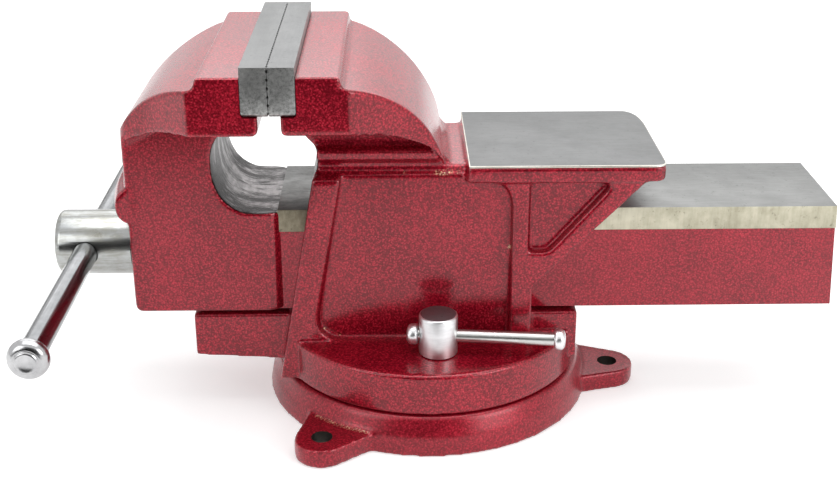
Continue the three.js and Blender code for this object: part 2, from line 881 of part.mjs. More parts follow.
function lockNut() {
  const bottom = discTopZ + slack;
  const top = bottom + lockNutHeight;
  const body = turned([
    [0, bottom],
    [lockNutRadius, bottom],
    [lockNutRadius, top - lockNutBevel],
    [lockNutRadius - lockNutBevel, top],
    [0, top],
  ], roundSegments);
  const bore = rod(lockBoltRadius + slack, bottom - overrun, bottom + lockBoreDepth);
  const barHole = rodAlongX(lockBarRadius + slack, -lockNutRadius - overrun, lockNutRadius + overrun)
    .translate([0, 0, discTopZ + lockBarRise]);
  return cut(body, [bore, barHole]);
}

const lockShoulder = lockNutRadius + slack;

function lockBar() {
  const tenon = lockCapLength / 2;
  return turnedAlongX([
    [0, -lockShoulder - tenon],
    [lockTenonRadius, -lockShoulder - tenon],
    [lockTenonRadius, -lockShoulder],
    [lockBarRadius, -lockShoulder],
    [lockBarRadius, lockBarReach],
    [lockTenonRadius, lockBarReach],
    [lockTenonRadius, lockBarReach + tenon],
    [0, lockBarReach + tenon],
  ], smallSegments);
}

function lockCap() {
  return turnedAlongX(
    capProfile(lockCapRadius, lockCapLength, lockCapRound, lockTenonRadius, lockCapLength / 2),
    smallSegments,
  );
}

// Assembly

add(vise, 'swivel_base', swivelBase(), redPaint());
add(vise, 'static_jaw_casting', staticJaw(), redPaint());
add(vise, 'rear_jaw_plate', jawPlate(1), groundSteel());
add(vise, 'sliding_jaw_casting', slidingJaw(), redPaint());
add(vise, 'front_jaw_plate', jawPlate(-1), groundSteel());
const sideNames = ['near', 'far'];
plateScrewYs.forEach((y, i) => {
  add(vise, `rear_plate_screw_${sideNames[i]}`, plateScrew(1, 0), blackSteel()).position.y = y;
  add(vise, `front_plate_screw_${sideNames[i]}`, plateScrew(-1, 0), blackSteel()).position.y = y;
});

add(vise, 'spindle_nut', spindleNut(), bronze());
nutBoltXs.forEach((x, i) => {
  add(vise, `nut_bolt_${['front', 'rear'][i]}`, nutBolt(0), blackSteel()).position.x = x;
});

const spindleGroup = new THREE.Group();
spindleGroup.position.z = spindleZ;
vise.add(spindleGroup);
add(spindleGroup, 'spindle', spindle(), chrome());
add(spindleGroup, 'thrust_washer', ring(
  screwRadius + slack, collarRadius, washerX, washerX + washerThickness,
), satinChrome());
add(spindleGroup, 'spindle_collar', collar(), blackSteel());
add(spindleGroup, 'collar_pin', rodAlongY(collarPinRadius, -collarRadius, collarRadius), satinChrome())
  .position.x = pinX;
const barGroup = new THREE.Group();
barGroup.position.x = barX;
spindleGroup.add(barGroup);
add(barGroup, 'spindle_bar', spindleBar(), chrome());
[-1, 1].forEach((side, i) => {
  const cap = add(barGroup, `spindle_bar_cap_${sideNames[i]}`, barCap(), chrome());
  cap.position.y = side * (barHalfLength - barCapLength);
  cap.rotation.z = side < 0 ? Math.PI : 0;
});

[0, 180].forEach((turn, i) => {
  const name = ['front', 'rear'][i];
  const group = new THREE.Group();
  group.position.set(...lockPosition(turn));
  group.rotation.z = THREE.MathUtils.degToRad(turn);
  vise.add(group);
  const bolt = add(group, `lock_bolt_${name}`, lockBolt(), blackSteel());
  bolt.rotation.z = THREE.MathUtils.degToRad(lockBoltAngle);
  const nut = add(group, `lock_nut_${name}`, lockNut(), satinChrome());
  nut.rotation.z = THREE.MathUtils.degToRad(lockBarTurn);
  const bar = new THREE.Group();
  bar.position.z = discTopZ + lockBarRise;
  bar.rotation.z = THREE.MathUtils.degToRad(lockBarTurn);
  group.add(bar);
  add(bar, `lock_bar_${name}`, lockBar(), satinChrome());
  const inner = add(bar, `lock_bar_cap_inner_${name}`, lockCap(), satinChrome());
  inner.position.x = -lockShoulder;
  inner.rotation.z = Math.PI;
  add(bar, `lock_bar_cap_outer_${name}`, lockCap(), satinChrome()).position.x = lockBarReach;
});

export default vise;
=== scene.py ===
import bmesh
import bpy
import numpy as np
from math import acos, asin, atan2, cos, degrees, hypot, pi, radians, sin, sqrt
from mathutils import Matrix


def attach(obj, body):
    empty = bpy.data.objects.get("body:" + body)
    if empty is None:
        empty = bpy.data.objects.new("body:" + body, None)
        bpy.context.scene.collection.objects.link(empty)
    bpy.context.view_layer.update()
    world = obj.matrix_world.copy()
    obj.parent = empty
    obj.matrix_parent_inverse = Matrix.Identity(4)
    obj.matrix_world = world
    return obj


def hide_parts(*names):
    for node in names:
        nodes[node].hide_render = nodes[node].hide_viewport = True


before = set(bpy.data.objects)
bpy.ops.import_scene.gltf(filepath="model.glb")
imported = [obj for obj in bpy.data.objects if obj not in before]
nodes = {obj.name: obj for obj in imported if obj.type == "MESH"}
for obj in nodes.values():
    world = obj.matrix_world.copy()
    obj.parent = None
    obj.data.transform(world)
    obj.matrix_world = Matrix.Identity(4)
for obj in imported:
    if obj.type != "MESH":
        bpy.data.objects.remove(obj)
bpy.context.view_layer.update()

mm = 0.001  # sizes below are in millimetres; the mesh tools turn them into metres
print("frame loaded with", len(nodes), "nodes")

cameraSet = {
    "place": (-0.01822, -0.71493, 0.39564),
    "down": 23.098,  # degrees below the horizon
    "right": 1.0733,  # degrees towards the anvil
    "lens": 55.483,
}


def linkObject(name, data):
    obj = bpy.data.objects.new(name, data)
    bpy.context.scene.collection.objects.link(obj)
    return obj


def makeCamera():
    data = bpy.data.cameras.new("viseCamera")
    data.sensor_width = 36
    data.lens = cameraSet["lens"]
    data.clip_start = 0.01
    camera = linkObject("viseCamera", data)
    camera.location = cameraSet["place"]
    down = radians(90 - cameraSet["down"])
    camera.rotation_euler = (down, 0, -radians(cameraSet["right"]))
    bpy.context.scene.camera = camera


makeCamera()
print("camera placed")


# Mesh tools. An outline is a list of (a, b) points; axis is the one it is pushed along.

def linkMesh(name, bm):
    bmesh.ops.recalc_face_normals(bm, faces=bm.faces)
    data = bpy.data.meshes.new(name)
    bm.to_mesh(data)
    bm.free()
    return linkObject(name, data)


def spot(axis, a, b, level):
    order = {"x": (level, a, b), "y": (a, level, b), "z": (a, b, level)}[axis]
    return [value * mm for value in order]


def joinRings(bm, rings):
    # a lid on each end, and walls from ring to ring
    bm.faces.new(rings[0])
    bm.faces.new(rings[-1])
    for ring, after in zip(rings, rings[1:]):
        for i in range(len(ring)):
            j = (i + 1) % len(ring)
            bm.faces.new((ring[i], ring[j], after[j], after[i]))


def prism(outline, near, far, axis="y"):
    bm = bmesh.new()
    joinRings(bm, [[bm.verts.new(spot(axis, a, b, level)) for a, b in outline] for level in (near, far)])
    return linkMesh("prism", bm)


def block(x0, x1, y0, y1, z0, z1):
    return prism([(x0, z0), (x1, z0), (x1, z1), (x0, z1)], y0, y1)


def turned(profile, axis, centre=(0, 0, 0), segments=96, closed=False):
    # profile holds (radius, height) points along the axis; a closed one ends where it starts
    bm = bmesh.new()
    turns = [2 * pi * i / segments for i in range(segments)]
    rings = [[bm.verts.new(spot(axis, radius * cos(t), radius * sin(t), height))
              for t in (turns if radius else turns[:1])] for radius, height in profile]
    for lower, upper in zip(rings, rings[1:] + (rings[:1] if closed else [])):
        for i in range(segments):
            j = (i + 1) % segments
            corners = dict.fromkeys((lower[i % len(lower)], lower[j % len(lower)],
                                     upper[j % len(upper)], upper[i % len(upper)]))
            if len(corners) > 2:
                bm.faces.new(list(corners))
    bmesh.ops.translate(bm, verts=bm.verts, vec=[value * mm for value in centre])
    return linkMesh("turned", bm)


def rod(radius, start, end, axis, centre=(0, 0, 0), segments=48):
    return turned([(0, start), (radius, start), (radius, end), (0, end)], axis, centre, segments)


def applied(obj):
    shown = obj.evaluated_get(bpy.context.evaluated_depsgraph_get())
    data = bpy.data.meshes.new_from_object(shown)
    obj.modifiers.clear()
    obj.data = data
    return obj


def boolean(obj, others, operation):
    for other in others:
        modifier = obj.modifiers.new("cut", "BOOLEAN")
        modifier.operation = operation
        modifier.solver = "MANIFOLD"
        modifier.object = other
        applied(obj)
        bpy.data.objects.remove(other)
    return obj


def cutWith(obj, *others):
    return boolean(obj, others, "DIFFERENCE")


def keepWithin(obj, other):
    return boolean(obj, [other], "INTERSECT")


def addRim(obj, width, turn):
    # takes the sharpness off the edges that turn by more than so many degrees
    rim = obj.modifiers.new("rim", "BEVEL")
    rim.width = width * mm
    rim.segments = 2
    rim.limit_method = "ANGLE"
    rim.angle_limit = radians(turn)
    return obj


def pointVectors(data, kind):
    values = np.zeros(len(data.vertices) * 3)
    data.vertices.foreach_get(kind, values)
    return values.reshape(-1, 3)


def edgeEnds(data):
    # both ends of every edge, and how many edges meet at each point
    ends = np.zeros(len(data.edges) * 2, np.int32)
    data.edges.foreach_get("vertices", ends)
    a, b, count = ends[0::2], ends[1::2], len(data.vertices)
    return a, b, np.bincount(a, minlength=count) + np.bincount(b, minlength=count)


def soften(obj, passes):
    # evens the surface out, which rounds its edges and fills its corners like a casting's
    data = obj.data
    co = pointVectors(data, "co")
    a, b, share = edgeEnds(data)
    for _ in range(passes):
        for i in range(3):
            total = np.bincount(a, co[b, i], len(co)) + np.bincount(b, co[a, i], len(co))
            co[:, i] += (total / share - co[:, i]) * 0.6
    data.vertices.foreach_set("co", co.ravel())
    data.update()
    return obj


def cast(name, parts, voxel, passes):
    # fuses overlapping solids into one skin and softens it
    bm = bmesh.new()
    for part in parts:
        bm.from_mesh(part.data)
        bpy.data.objects.remove(part)
    data = bpy.data.meshes.new(name)
    bm.to_mesh(data)
    bm.free()
    obj = linkObject(name, data)
    remesh = obj.modifiers.new("skin", "REMESH")
    remesh.mode = "VOXEL"
    remesh.voxel_size = voxel * mm
    return soften(applied(obj), passes)


def smoothThrough(points, steps):
    # a curve through the points, straight at its ends
    made = []
    points = [np.array(point, float) for point in points]
    ends = [points[0], *points, points[-1]]
    for p0, p1, p2, p3 in zip(ends, ends[1:], ends[2:], ends[3:]):
        for k in range(steps):
            t = k / steps
            made.append(tuple(0.5 * (2 * p1 + (p2 - p0) * t + (2 * p0 - 5 * p1 + 4 * p2 - p3) * t ** 2
                                     + (3 * p1 - p0 - 3 * p2 + p3) * t ** 3)))
    return [*made, tuple(points[-1])]


def arc(centreA, centreB, radius, start, end, steps):
    turns = [radians(start + (end - start) * i / steps) for i in range(steps + 1)]
    return [(centreA + radius * cos(t), centreB + radius * sin(t)) for t in turns]


def quarter(a, b, r):
    # a rounded foot corner that ends at the side a; a negative r rounds it the other way
    return [(a - r * (1 - sin(t)), b + abs(r) * (1 - cos(t)))
            for t in np.linspace(0, pi / 2, 7)]


def finishPiece(obj, name, body, materials, replaced=(), sharp=35, paint=None):
    # paint gives each face its material number from its middle and its normal
    obj.name = name
    obj.data.name = name
    obj.data.materials.clear()
    for material in materials:
        obj.data.materials.append(material)
    if paint:
        for face in obj.data.polygons:
            face.material_index = paint([c / mm for c in face.center], face.normal)
    obj.data.shade_smooth()
    obj.data.set_sharp_from_angle(angle=radians(sharp))
    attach(obj, body)
    if replaced:
        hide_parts(*replaced)
    return obj


# Materials

def feed(made, inputs):
    # links the inputs that come from another node and sets the others as plain values
    for key, value in inputs.items():
        socket = made.inputs[key]
        if isinstance(value, bpy.types.NodeSocket):
            made.id_data.links.new(value, socket)
        else:
            socket.default_value = (*value, 1) if socket.type == "RGBA" else value
    return made


def addNode(near, kind, settings=None, inputs=None):
    # near is the tree itself or any socket in it
    made = near.id_data.nodes.new("ShaderNode" + kind)
    for key, value in (settings or {}).items():
        setattr(made, key, value)
    return feed(made, inputs or {})


def startMaterial(name):
    material = bpy.data.materials.new(name)
    material.use_nodes = True
    tree = material.node_tree
    return material, tree.nodes["Principled BSDF"], addNode(tree, "TexCoord").outputs["Object"]


def noise(coords, scale, detail=3, rough=0.5, stretch=None):
    if stretch:
        coords = addNode(coords, "Mapping", inputs={"Vector": coords, "Scale": stretch}).outputs[0]
    return addNode(coords, "TexNoise", inputs={
        "Vector": coords, "Scale": scale, "Detail": detail, "Roughness": rough}).outputs[0]


def ramp(value, low, high, fromLow=0, fromHigh=1):
    return addNode(value, "MapRange", inputs={
        "Value": value, "From Min": fromLow, "From Max": fromHigh,
        "To Min": low, "To Max": high}).outputs[0]


def maths(operation, a, b):
    return addNode(a, "Math", {"operation": operation}, {0: a, 1: b}).outputs[0]


def blendColours(factor, low, high):
    return addNode(factor, "Mix", {"data_type": "RGBA"}, {0: factor, 6: low, 7: high}).outputs[2]


def blendValues(factor, low, high):
    return addNode(low, "Mix", {"data_type": "FLOAT"}, {0: factor, 2: low, 3: high}).outputs[0]


def bump(height, distance, strength=1.0, onto=None):
    inputs = {"Height": height, "Distance": distance * mm, "Strength": strength}
    if onto:
        inputs["Normal"] = onto
    return addNode(height, "Bump", inputs=inputs).outputs[0]


def attribute(near, name):
    return addNode(near, "Attribute", {"attribute_name": name}).outputs["Fac"]


paintSet = {
    "deep": (0.148, 0.0012, 0.0075),
    "bright": (0.505, 0.014, 0.036),
    "paintedGlint": (0.66, 0.13, 0.14),
    "edgeHighlightTone": (0.60, 0.17, 0.18),
    "creaseShadeTone": (0.075, 0.0010, 0.005),
    "primerAndHighlight": (0.70, 0.50, 0.30),
    "flake": 0.45,  # the share of the enamel that shines like metal flake
    "coat": 0.9, "roughLow": 0.34, "roughHigh": 0.46,
    "cellScale": 760,  # per metre, the wrinkles of the hammered finish
    "speckScale": 1050, "cloudScale": 30, "warpScale": 260,
    "warp": 0.0026,  # metres that the warp shifts the wrinkles by
    "pitDepth": 0.08, "coatDepth": 0.012,
    "bareSteel": (0.34, 0.325, 0.325),
    "bareGrimeAndShade": (0.03, 0.026, 0.026),
}


def hammeredPaint(name, bare=False, pits=1.0, contrast=1.0, coatRough=0.1):
    # bare lets the steel show where the attribute of that name is marked
    material, shader, coords = startMaterial(name)
    p = paintSet
    warp = addNode(coords, "TexNoise", inputs={
        "Vector": coords, "Scale": p["warpScale"], "Detail": 2}).outputs[1]
    shift = addNode(coords, "VectorMath", {"operation": "SCALE"}, {0: warp, 3: p["warp"]}).outputs[0]
    warped = addNode(coords, "VectorMath", {"operation": "ADD"}, {0: coords, 1: shift}).outputs[0]
    cells = addNode(coords, "TexVoronoi", {"feature": "SMOOTH_F1"}, {
        "Vector": warped, "Scale": p["cellScale"], "Smoothness": 0.35}).outputs["Distance"]
    speck = noise(coords, p["speckScale"], 2, 0.6)
    cloud = noise(coords, p["cloudScale"])
    wrinkle = blendValues(0.6, ramp(speck, 0, 1, 0.36, 0.64), ramp(cells, 1, 0, 0.16, 0.60))
    tone = blendValues(0.14, wrinkle, ramp(cloud, 0, 1, 0.35, 0.65))
    spread = 0.31 / contrast
    colour = blendColours(ramp(tone, 0, 1, 0.5 - spread, 0.5 + spread), p["deep"], p["bright"])
    # the wrinkles' highest peaks lightened: painted glints
    colour = blendColours(ramp(wrinkle, 0, 0.18 * contrast, 0.78, 1), colour, p["paintedGlint"])
    # inner corners darkened: painted shade
    colour = blendColours(ramp(attribute(coords, "crease"), 0, 0.6), colour, p["creaseShadeTone"])
    # outer edges lightened in specks: a painted highlight
    edgeHighlight = maths("MULTIPLY", attribute(coords, "edge"), ramp(speck, 0.15, 0.6, 0.42, 0.6))
    colour = blendColours(edgeHighlight, colour, p["edgeHighlightTone"])
    # marked spots lightened in specks: wear to the primer, and painted highlights and glints
    rubbedAndGlint = maths("MULTIPLY", attribute(coords, "wearAndGlint"), ramp(speck, 0, 1, 0.48, 0.62))
    colour = blendColours(rubbedAndGlint, colour, p["primerAndHighlight"])
    rough = ramp(cloud, p["roughLow"], p["roughHigh"], 0.3, 0.7)
    normal = bump(wrinkle, p["pitDepth"] * pits)
    coatNormal = bump(wrinkle, p["coatDepth"] * pits)
    if bare:
        ragged = ramp(noise(coords, 300, 4, 0.7), -0.35, 0.35)
        edge = maths("ADD", attribute(coords, "bare"), ragged)
        mask = ramp(edge, 0, 1, 0.42, 0.58)
        swirl = noise(coords, 42, 5, 0.72, (1.0, 3.2, 1.0))
        lines = noise(coords, 260, 3, 0.6, (1.0, 0.35, 1.0))
        # dark streaks of grime, with painted shade added where the mesh marks it
        grimeAndShade = maths("ADD", swirl, ramp(attribute(coords, "grimeAndShade"), -0.05, 0.10))
        steel = blendColours(ramp(lines, 0, 1, 0.38, 0.62),
                             [c * 0.55 for c in p["bareSteel"]], p["bareSteel"])
        steel = blendColours(ramp(grimeAndShade, 0, 1, 0.40, 0.52), steel, p["bareGrimeAndShade"])
        colour = blendColours(mask, colour, steel)
        rough = blendValues(mask, rough, ramp(lines, 0.30, 0.5))
        normal = bump(lines, 0.08, 0.6, normal)
        # no coat on bare steel, and little in inner corners, which darkens them as painted shade
        gloss = maths("MULTIPLY", ramp(mask, p["coat"], 0),
                      ramp(attribute(coords, "crease"), 1, 0.12))
        feed(shader, {"Metallic": ramp(mask, p["flake"], 1), "Coat Weight": gloss})
    feed(shader, {
        "Base Color": colour, "Roughness": rough, "Normal": normal, "Coat Normal": coatNormal,
        "Metallic": p["flake"], "Coat Weight": p["coat"], "Coat Roughness": coatRough,
        "Specular IOR Level": 0})
    return material


def worked(name, colour, dark, rough, stretch, scale=70, mottle=0.5, depth=0.04):
    # ground or milled steel: fine lines one way, cloudy tone and small dark specks
    material, shader, coords = startMaterial(name)
    lines = noise(coords, scale, 5, 0.7, stretch)
    cloud = noise(coords, 55, 4, 0.6)
    specks = ramp(noise(coords, 420, 3, 0.6), 0, 1, 0.62, 0.74)
    tone = blendValues(mottle, ramp(lines, 0, 1, 0.3, 0.7), ramp(cloud, 0, 1, 0.35, 0.65))
    base = blendColours(tone, dark, colour)
    base = blendColours(ramp(specks, 0, 0.55), base, [c * 0.4 for c in dark])
    feed(shader, {"Base Color": base, "Metallic": 1, "Roughness": ramp(tone, rough[1], rough[0]),
                        "Normal": bump(lines, depth, 0.6)})
    return material


def plated(name, colour, dull, rough, stretch, scale=60):
    # turned and plated steel: faint lines along the lathe or draw marks, and cloudy tarnish
    material, shader, coords = startMaterial(name)
    lines = noise(coords, scale, 5, 0.65, stretch)
    cloud = noise(coords, 70, 4, 0.65)
    tone = blendValues(0.45, ramp(lines, 0, 1, 0.34, 0.66), ramp(cloud, 0, 1, 0.36, 0.64))
    feed(shader, {"Base Color": blendColours(tone, colour, dull), "Metallic": 1,
                        "Roughness": ramp(tone, *rough), "Normal": bump(lines, 0.02, 0.4)})
    return material


redPaint = hammeredPaint("hammered red base paint", pits=0.6, contrast=0.7, coatRough=0.26)
redPaintBare = hammeredPaint("hammered red paint worn to steel", bare=True, contrast=0.95, coatRough=0.18)
smoothRed = hammeredPaint("smooth red slide paint", pits=0.5, contrast=0.75)
anvilSteel = worked("ground anvil steel", (0.196, 0.198, 0.198), (0.162, 0.164, 0.164), (0.4, 0.5), (1, 9, 1))
edgeHighlightSteel = worked("bright edge highlight", (0.85, 0.82, 0.76), (0.45, 0.42, 0.36), (0.3, 0.45), (6, 6, 6),
                   scale=160)
railSteel = worked("milled slide steel", (0.58, 0.55, 0.44), (0.32, 0.30, 0.22), (0.42, 0.62), (5, 5, 0.6),
                   scale=80, mottle=0.65, depth=0.08)
slideTopSteel = worked("milled slide top", (0.262, 0.264, 0.259), (0.207, 0.209, 0.205), (0.38, 0.5),
                       (1, 8, 1))
# darker copies of the slide's milled top and band: painted shade under the jaws' heads
shadedSlideTop = worked("slide top in painted shade", (0.20, 0.20, 0.195), (0.09, 0.09, 0.085), (0.3, 0.5), (1, 2, 1),
                 scale=140, mottle=0.4)
shadedSlideBand = worked("slide band in painted shade", (0.30, 0.27, 0.20), (0.13, 0.115, 0.08), (0.42, 0.6), (2, 2, 1),
                  scale=180, mottle=0.4)
plateSteel = worked("dark jaw plate steel", (0.50, 0.50, 0.49), (0.07, 0.072, 0.07), (0.34, 0.52), (1, 1, 1),
                    scale=620, mottle=0.15, depth=0.08)
plateTopSteel = worked("ground jaw plate top", (0.222, 0.224, 0.224), (0.186, 0.188, 0.190), (0.38, 0.46),
                       (9, 1, 1))
turnedChrome = plated("turned chrome", (0.44, 0.455, 0.46), (0.24, 0.235, 0.20), (0.16, 0.3), (0.8, 7, 7))
barChrome = plated("drawn chrome", (0.29, 0.295, 0.305), (0.17, 0.175, 0.18), (0.10, 0.22), (5, 0.25, 5))
smallBarChrome = plated("drawn lock bar chrome", (0.76, 0.76, 0.75), (0.46, 0.46, 0.44), (0.24, 0.38),
                        (0.25, 6, 6))
capChrome = plated("polished cap chrome", (0.54, 0.54, 0.545), (0.36, 0.36, 0.37), (0.17, 0.28), (2, 2, 2))
satinChrome = plated("satin chrome", (0.84, 0.84, 0.85), (0.64, 0.64, 0.65), (0.28, 0.40), (1, 1, 8))
blackSteel = worked("blackened steel", (0.06, 0.06, 0.065), (0.02, 0.02, 0.022), (0.35, 0.55), (1, 1, 1))
castBronze = worked("cast bronze", (0.55, 0.33, 0.12), (0.32, 0.18, 0.06), (0.32, 0.5), (1, 1, 1))
darkCastAndShade = worked("greasy cast iron and painted shade", (0.12, 0.11, 0.10), (0.04, 0.035, 0.03), (0.4, 0.6), (1, 1, 1))
nutTop = worked("dark nut top", (0.30, 0.27, 0.285), (0.20, 0.185, 0.195), (0.38, 0.5), (1, 1, 1))
print("materials made")

# The two jaws share these; reach is the distance from the line where the jaws meet
jaw = {
    "width": 150, "line": -84.5, "seatReach": 14.5,
    "seatBottom": 191, "seatCorner": 2.4, "plateTop": 218,
    "top": 212.5, "topReach": 37, "sideReach": 42.5,
    "stepWidth": 1.5, "stepDrop": 6, "bottom": 181,
    "lipReach": 6, "lipBevel": 1.6, "domeRadius": 67,
    "domeCentreReach": 27.1, "domeFoot": 157,
    "underside": [(0.85, 0.62), (0.6, 0.33), (0.35, 0.13)],
    "screwY": 45, "screwZ": 204.65,
}
throat = {"floor": 124, "frontReach": 36.8, "rearReach": 22.1}


def reachX(reach, side):
    return jaw["line"] + side * reach


def domeCentreZ():
    j = jaw
    run = j["topReach"] + j["stepWidth"] - j["domeCentreReach"]
    return j["top"] - j["stepDrop"] - sqrt(j["domeRadius"] ** 2 - run ** 2)


def domeReachAt(z):
    return jaw["domeCentreReach"] + sqrt(jaw["domeRadius"] ** 2 - (z - domeCentreZ()) ** 2)


def placed(points, side):
    # points given by their reach, for the jaw on one side of the line
    return [(reachX(reach, side), other) for reach, other in points]


def underside(lift):
    # points of the head's underside from its foot inwards, or of what runs up into it
    j = jaw
    run, rise = domeReachAt(j["domeFoot"]) - j["sideReach"], j["bottom"] - j["domeFoot"]
    return [(j["sideReach"] + run * out, j["bottom"] - rise * down + lift) for out, down in j["underside"]]


def headOutline(side):
    j = jaw
    foot, dome = j["domeFoot"], j["domeRadius"]
    start = degrees(acos((j["topReach"] + j["stepWidth"] - j["domeCentreReach"]) / dome))
    end = degrees(asin((foot - domeCentreZ()) / dome))
    under = [(domeReachAt(foot), foot), *underside(0), (j["sideReach"], j["bottom"])]
    return placed([
        (j["lipReach"], j["bottom"] + j["lipBevel"]), (j["lipReach"], j["top"]), (j["topReach"], j["top"]),
        *arc(j["domeCentreReach"], domeCentreZ(), dome, start, end, 28),
        *smoothThrough(under, 5)[1:], (j["lipReach"] + j["lipBevel"], j["bottom"]),
    ], side)


def makeHead(side, plan, middle):
    # plan runs from the jaw's far corner to the head's end, and middle goes on across it
    half = [(0, jaw["width"] / 2)] + smoothThrough(plan, 5)
    near = [(reach, -y) for reach, y in reversed(half)]
    outline = prism(placed(half + middle + near, side), throat["floor"] - 4, jaw["plateTop"] + 2, "z")
    return keepWithin(prism(headOutline(side), -jaw["width"] / 2, jaw["width"] / 2), outline)


def seatCut(side):
    # the seat for the jaw plate, its inner corner rounded a little less than the plate
    far, low, over = jaw["seatReach"], jaw["seatBottom"], jaw["plateTop"] + 4
    outline = [(-4, low), *quarter(far, low, jaw["seatCorner"]), (far, over), (-4, over)]
    return prism(placed(outline, side), -jaw["width"], jaw["width"])


def plateScrewHoles(side):
    tip = jaw["seatReach"] + 18.3
    profile = [(0, -4), (7.3, -4), (7.3, 7.3), (4.3, 7.3), (4.3, tip), (0, tip)]
    return [turned([(r, side * h) for r, h in profile], "x", (jaw["line"], y, jaw["screwZ"]), 40)
            for y in (jaw["screwY"], -jaw["screwY"])]


def softStep(value, low, high):
    t = np.clip((value - low) / (high - low), 0, 1)
    return t * t * (3 - 2 * t)


def markPoints(obj, name, values):
    layer = obj.data.attributes.new(name, "FLOAT", "POINT")
    layer.data.foreach_set("value", values.astype(np.float32))


def markCurves(obj):
    # marks inner corners, which the paint darkens as painted shade, and outer edges, which it lightens as a
    # painted highlight
    co, normals = pointVectors(obj.data, "co") / mm, pointVectors(obj.data, "normal")
    count = len(co)
    a, b, share = edgeEnds(obj.data)
    way = co[b] - co[a]
    way /= np.maximum(np.linalg.norm(way, axis=1), 1e-6)[:, None]
    curve = (np.bincount(a, (way * normals[a]).sum(1), count)
             - np.bincount(b, (way * normals[b]).sum(1), count)) / share
    for _ in range(3):
        around = (np.bincount(a, curve[b], count) + np.bincount(b, curve[a], count)) / share
        curve = (curve + around) / 2
    markPoints(obj, "crease", softStep(curve, 0.03, 0.17))
    markPoints(obj, "edge", softStep(-curve, 0.07, 0.25))


def markWearAndGlints(obj, spots):
    # spots lightened toward a pale yellow, partly worn through to the primer and partly painted highlights
    # and glints: x, y, z and a radius
    co = pointVectors(obj.data, "co") / mm
    value = np.zeros(len(co))
    for x, y, z, radius in spots:
        away = np.linalg.norm(co - [x, y, z], axis=1)
        value = np.maximum(value, 1 - softStep(away, radius * 0.4, radius))
    markPoints(obj, "wearAndGlint", value)


# Moving jaw casting
movingJaw = {
    "halfWidth": 40, "endReach": 1.5, "bottom": 63.2,
    "noseReach": 89.9, "noseSag": 5.1, "footRound": 4,
    "plan": [(42.5, 75), (63.7, 54.9), (76.0, 45.6), (81.8, 41.6), (84.6, 38.6)],
    "beadZ": 128.6, "beadHeight": 20, "beadReach": 6.5,
    "throat": [(0.37, 0), (0.62, 0.03), (0.85, 0.15), (0.97, 0.32), (1, 0.5),
               (0.97, 0.67), (0.83, 0.82), (0.53, 0.95)],
    "stub": (-140, -84, -36.0, 36.0, 63.4, 123.8),  # where the slide bar joins it
    "spindleZ": 91, "boreStart": -190, "screwBore": 12.4,
    "headBore": 19.6,
    "headSeat": -172.8,  # the floor of the spindle head's bore
    "voxel": 1.0, "passes": 4,
}
slideBar = {
    "halfWidth": 36.5, "top": 125, "bottom": 63.2,
    "endX": 234.8,
    "endDraft": 3.3,  # how far the top end stands back from the foot
    "bandBottom": 111.3,
    "paintStep": 0.35,  # the painted sides lie this much behind the milled band
    "channelHalf": 20, "channelTop": 110.2, "channelStart": -147.9,
    # from here to the throat the slide's top and band are darker, as painted shade
    "shadeEnd": -56,
}


def noseLine(half, steps=24):
    # the nose's front seen from above, from its far end to its near one
    m, line = movingJaw, []
    for i in range(steps + 1):
        y = half * (1 - 2 * i / steps)
        line.append((reachX(m["noseReach"], -1) + m["noseSag"] * (y / m["halfWidth"]) ** 2, y))
    return line


def alongNose(profile, half):
    # sweeps a closed profile of (outwards, height) points along the nose
    bm = bmesh.new()
    rings = []
    for x, y in noseLine(half, 30):
        slope = 2 * movingJaw["noseSag"] * y / movingJaw["halfWidth"] ** 2
        length = hypot(1, slope)
        outX, outY = -1 / length, slope / length
        rings.append([bm.verts.new([(x + outX * out) * mm, (y + outY * out) * mm, z * mm])
                      for out, z in profile])
    joinRings(bm, rings)
    return linkMesh("nose", bm)


def noseBead():
    m = movingJaw
    turns = [2 * pi * i / 32 for i in range(32)]
    return alongNose([(m["beadReach"] * cos(t), m["beadZ"] + m["beadHeight"] / 2 * sin(t))
                      for t in turns], m["halfWidth"])


def noseFootCut():
    foot, r = movingJaw["bottom"], movingJaw["footRound"]
    return alongNose([(-r, foot - 3), *quarter(0, foot, r), (4, foot + r), (4, foot - 3)],
                     movingJaw["halfWidth"] + 2)


def frontBody():
    half, foot, floor = movingJaw["halfWidth"], movingJaw["bottom"], throat["floor"]
    endX, frontX = reachX(movingJaw["endReach"], -1), reachX(movingJaw["noseReach"], -1)
    height = jaw["bottom"] - floor
    scoop = placed([(throat["frontReach"] * out, floor + height * up) for out, up in movingJaw["throat"]], -1)
    body = prism([
        (frontX - 2, foot), (endX, foot), (endX, floor), *smoothThrough(scoop, 5),
        (reachX(jaw["lipReach"] + jaw["lipBevel"], -1), jaw["bottom"]),
        (reachX(jaw["sideReach"], -1), jaw["bottom"] + jaw["lipBevel"]),
        *placed(reversed(underside(3)), -1), (frontX - 2, jaw["domeFoot"] + 3),
    ], -half, half)
    end = [(endX - 6, -half), (endX - 2.6, -half + 0.7), (endX - 0.6, -half + 2.2), (endX, -half + 4)]
    far = [(x, -y) for x, y in reversed(end)]
    keepWithin(body, prism(noseLine(half) + end + far, foot - 2, 210, "z"))
    return cutWith(body, noseFootCut())


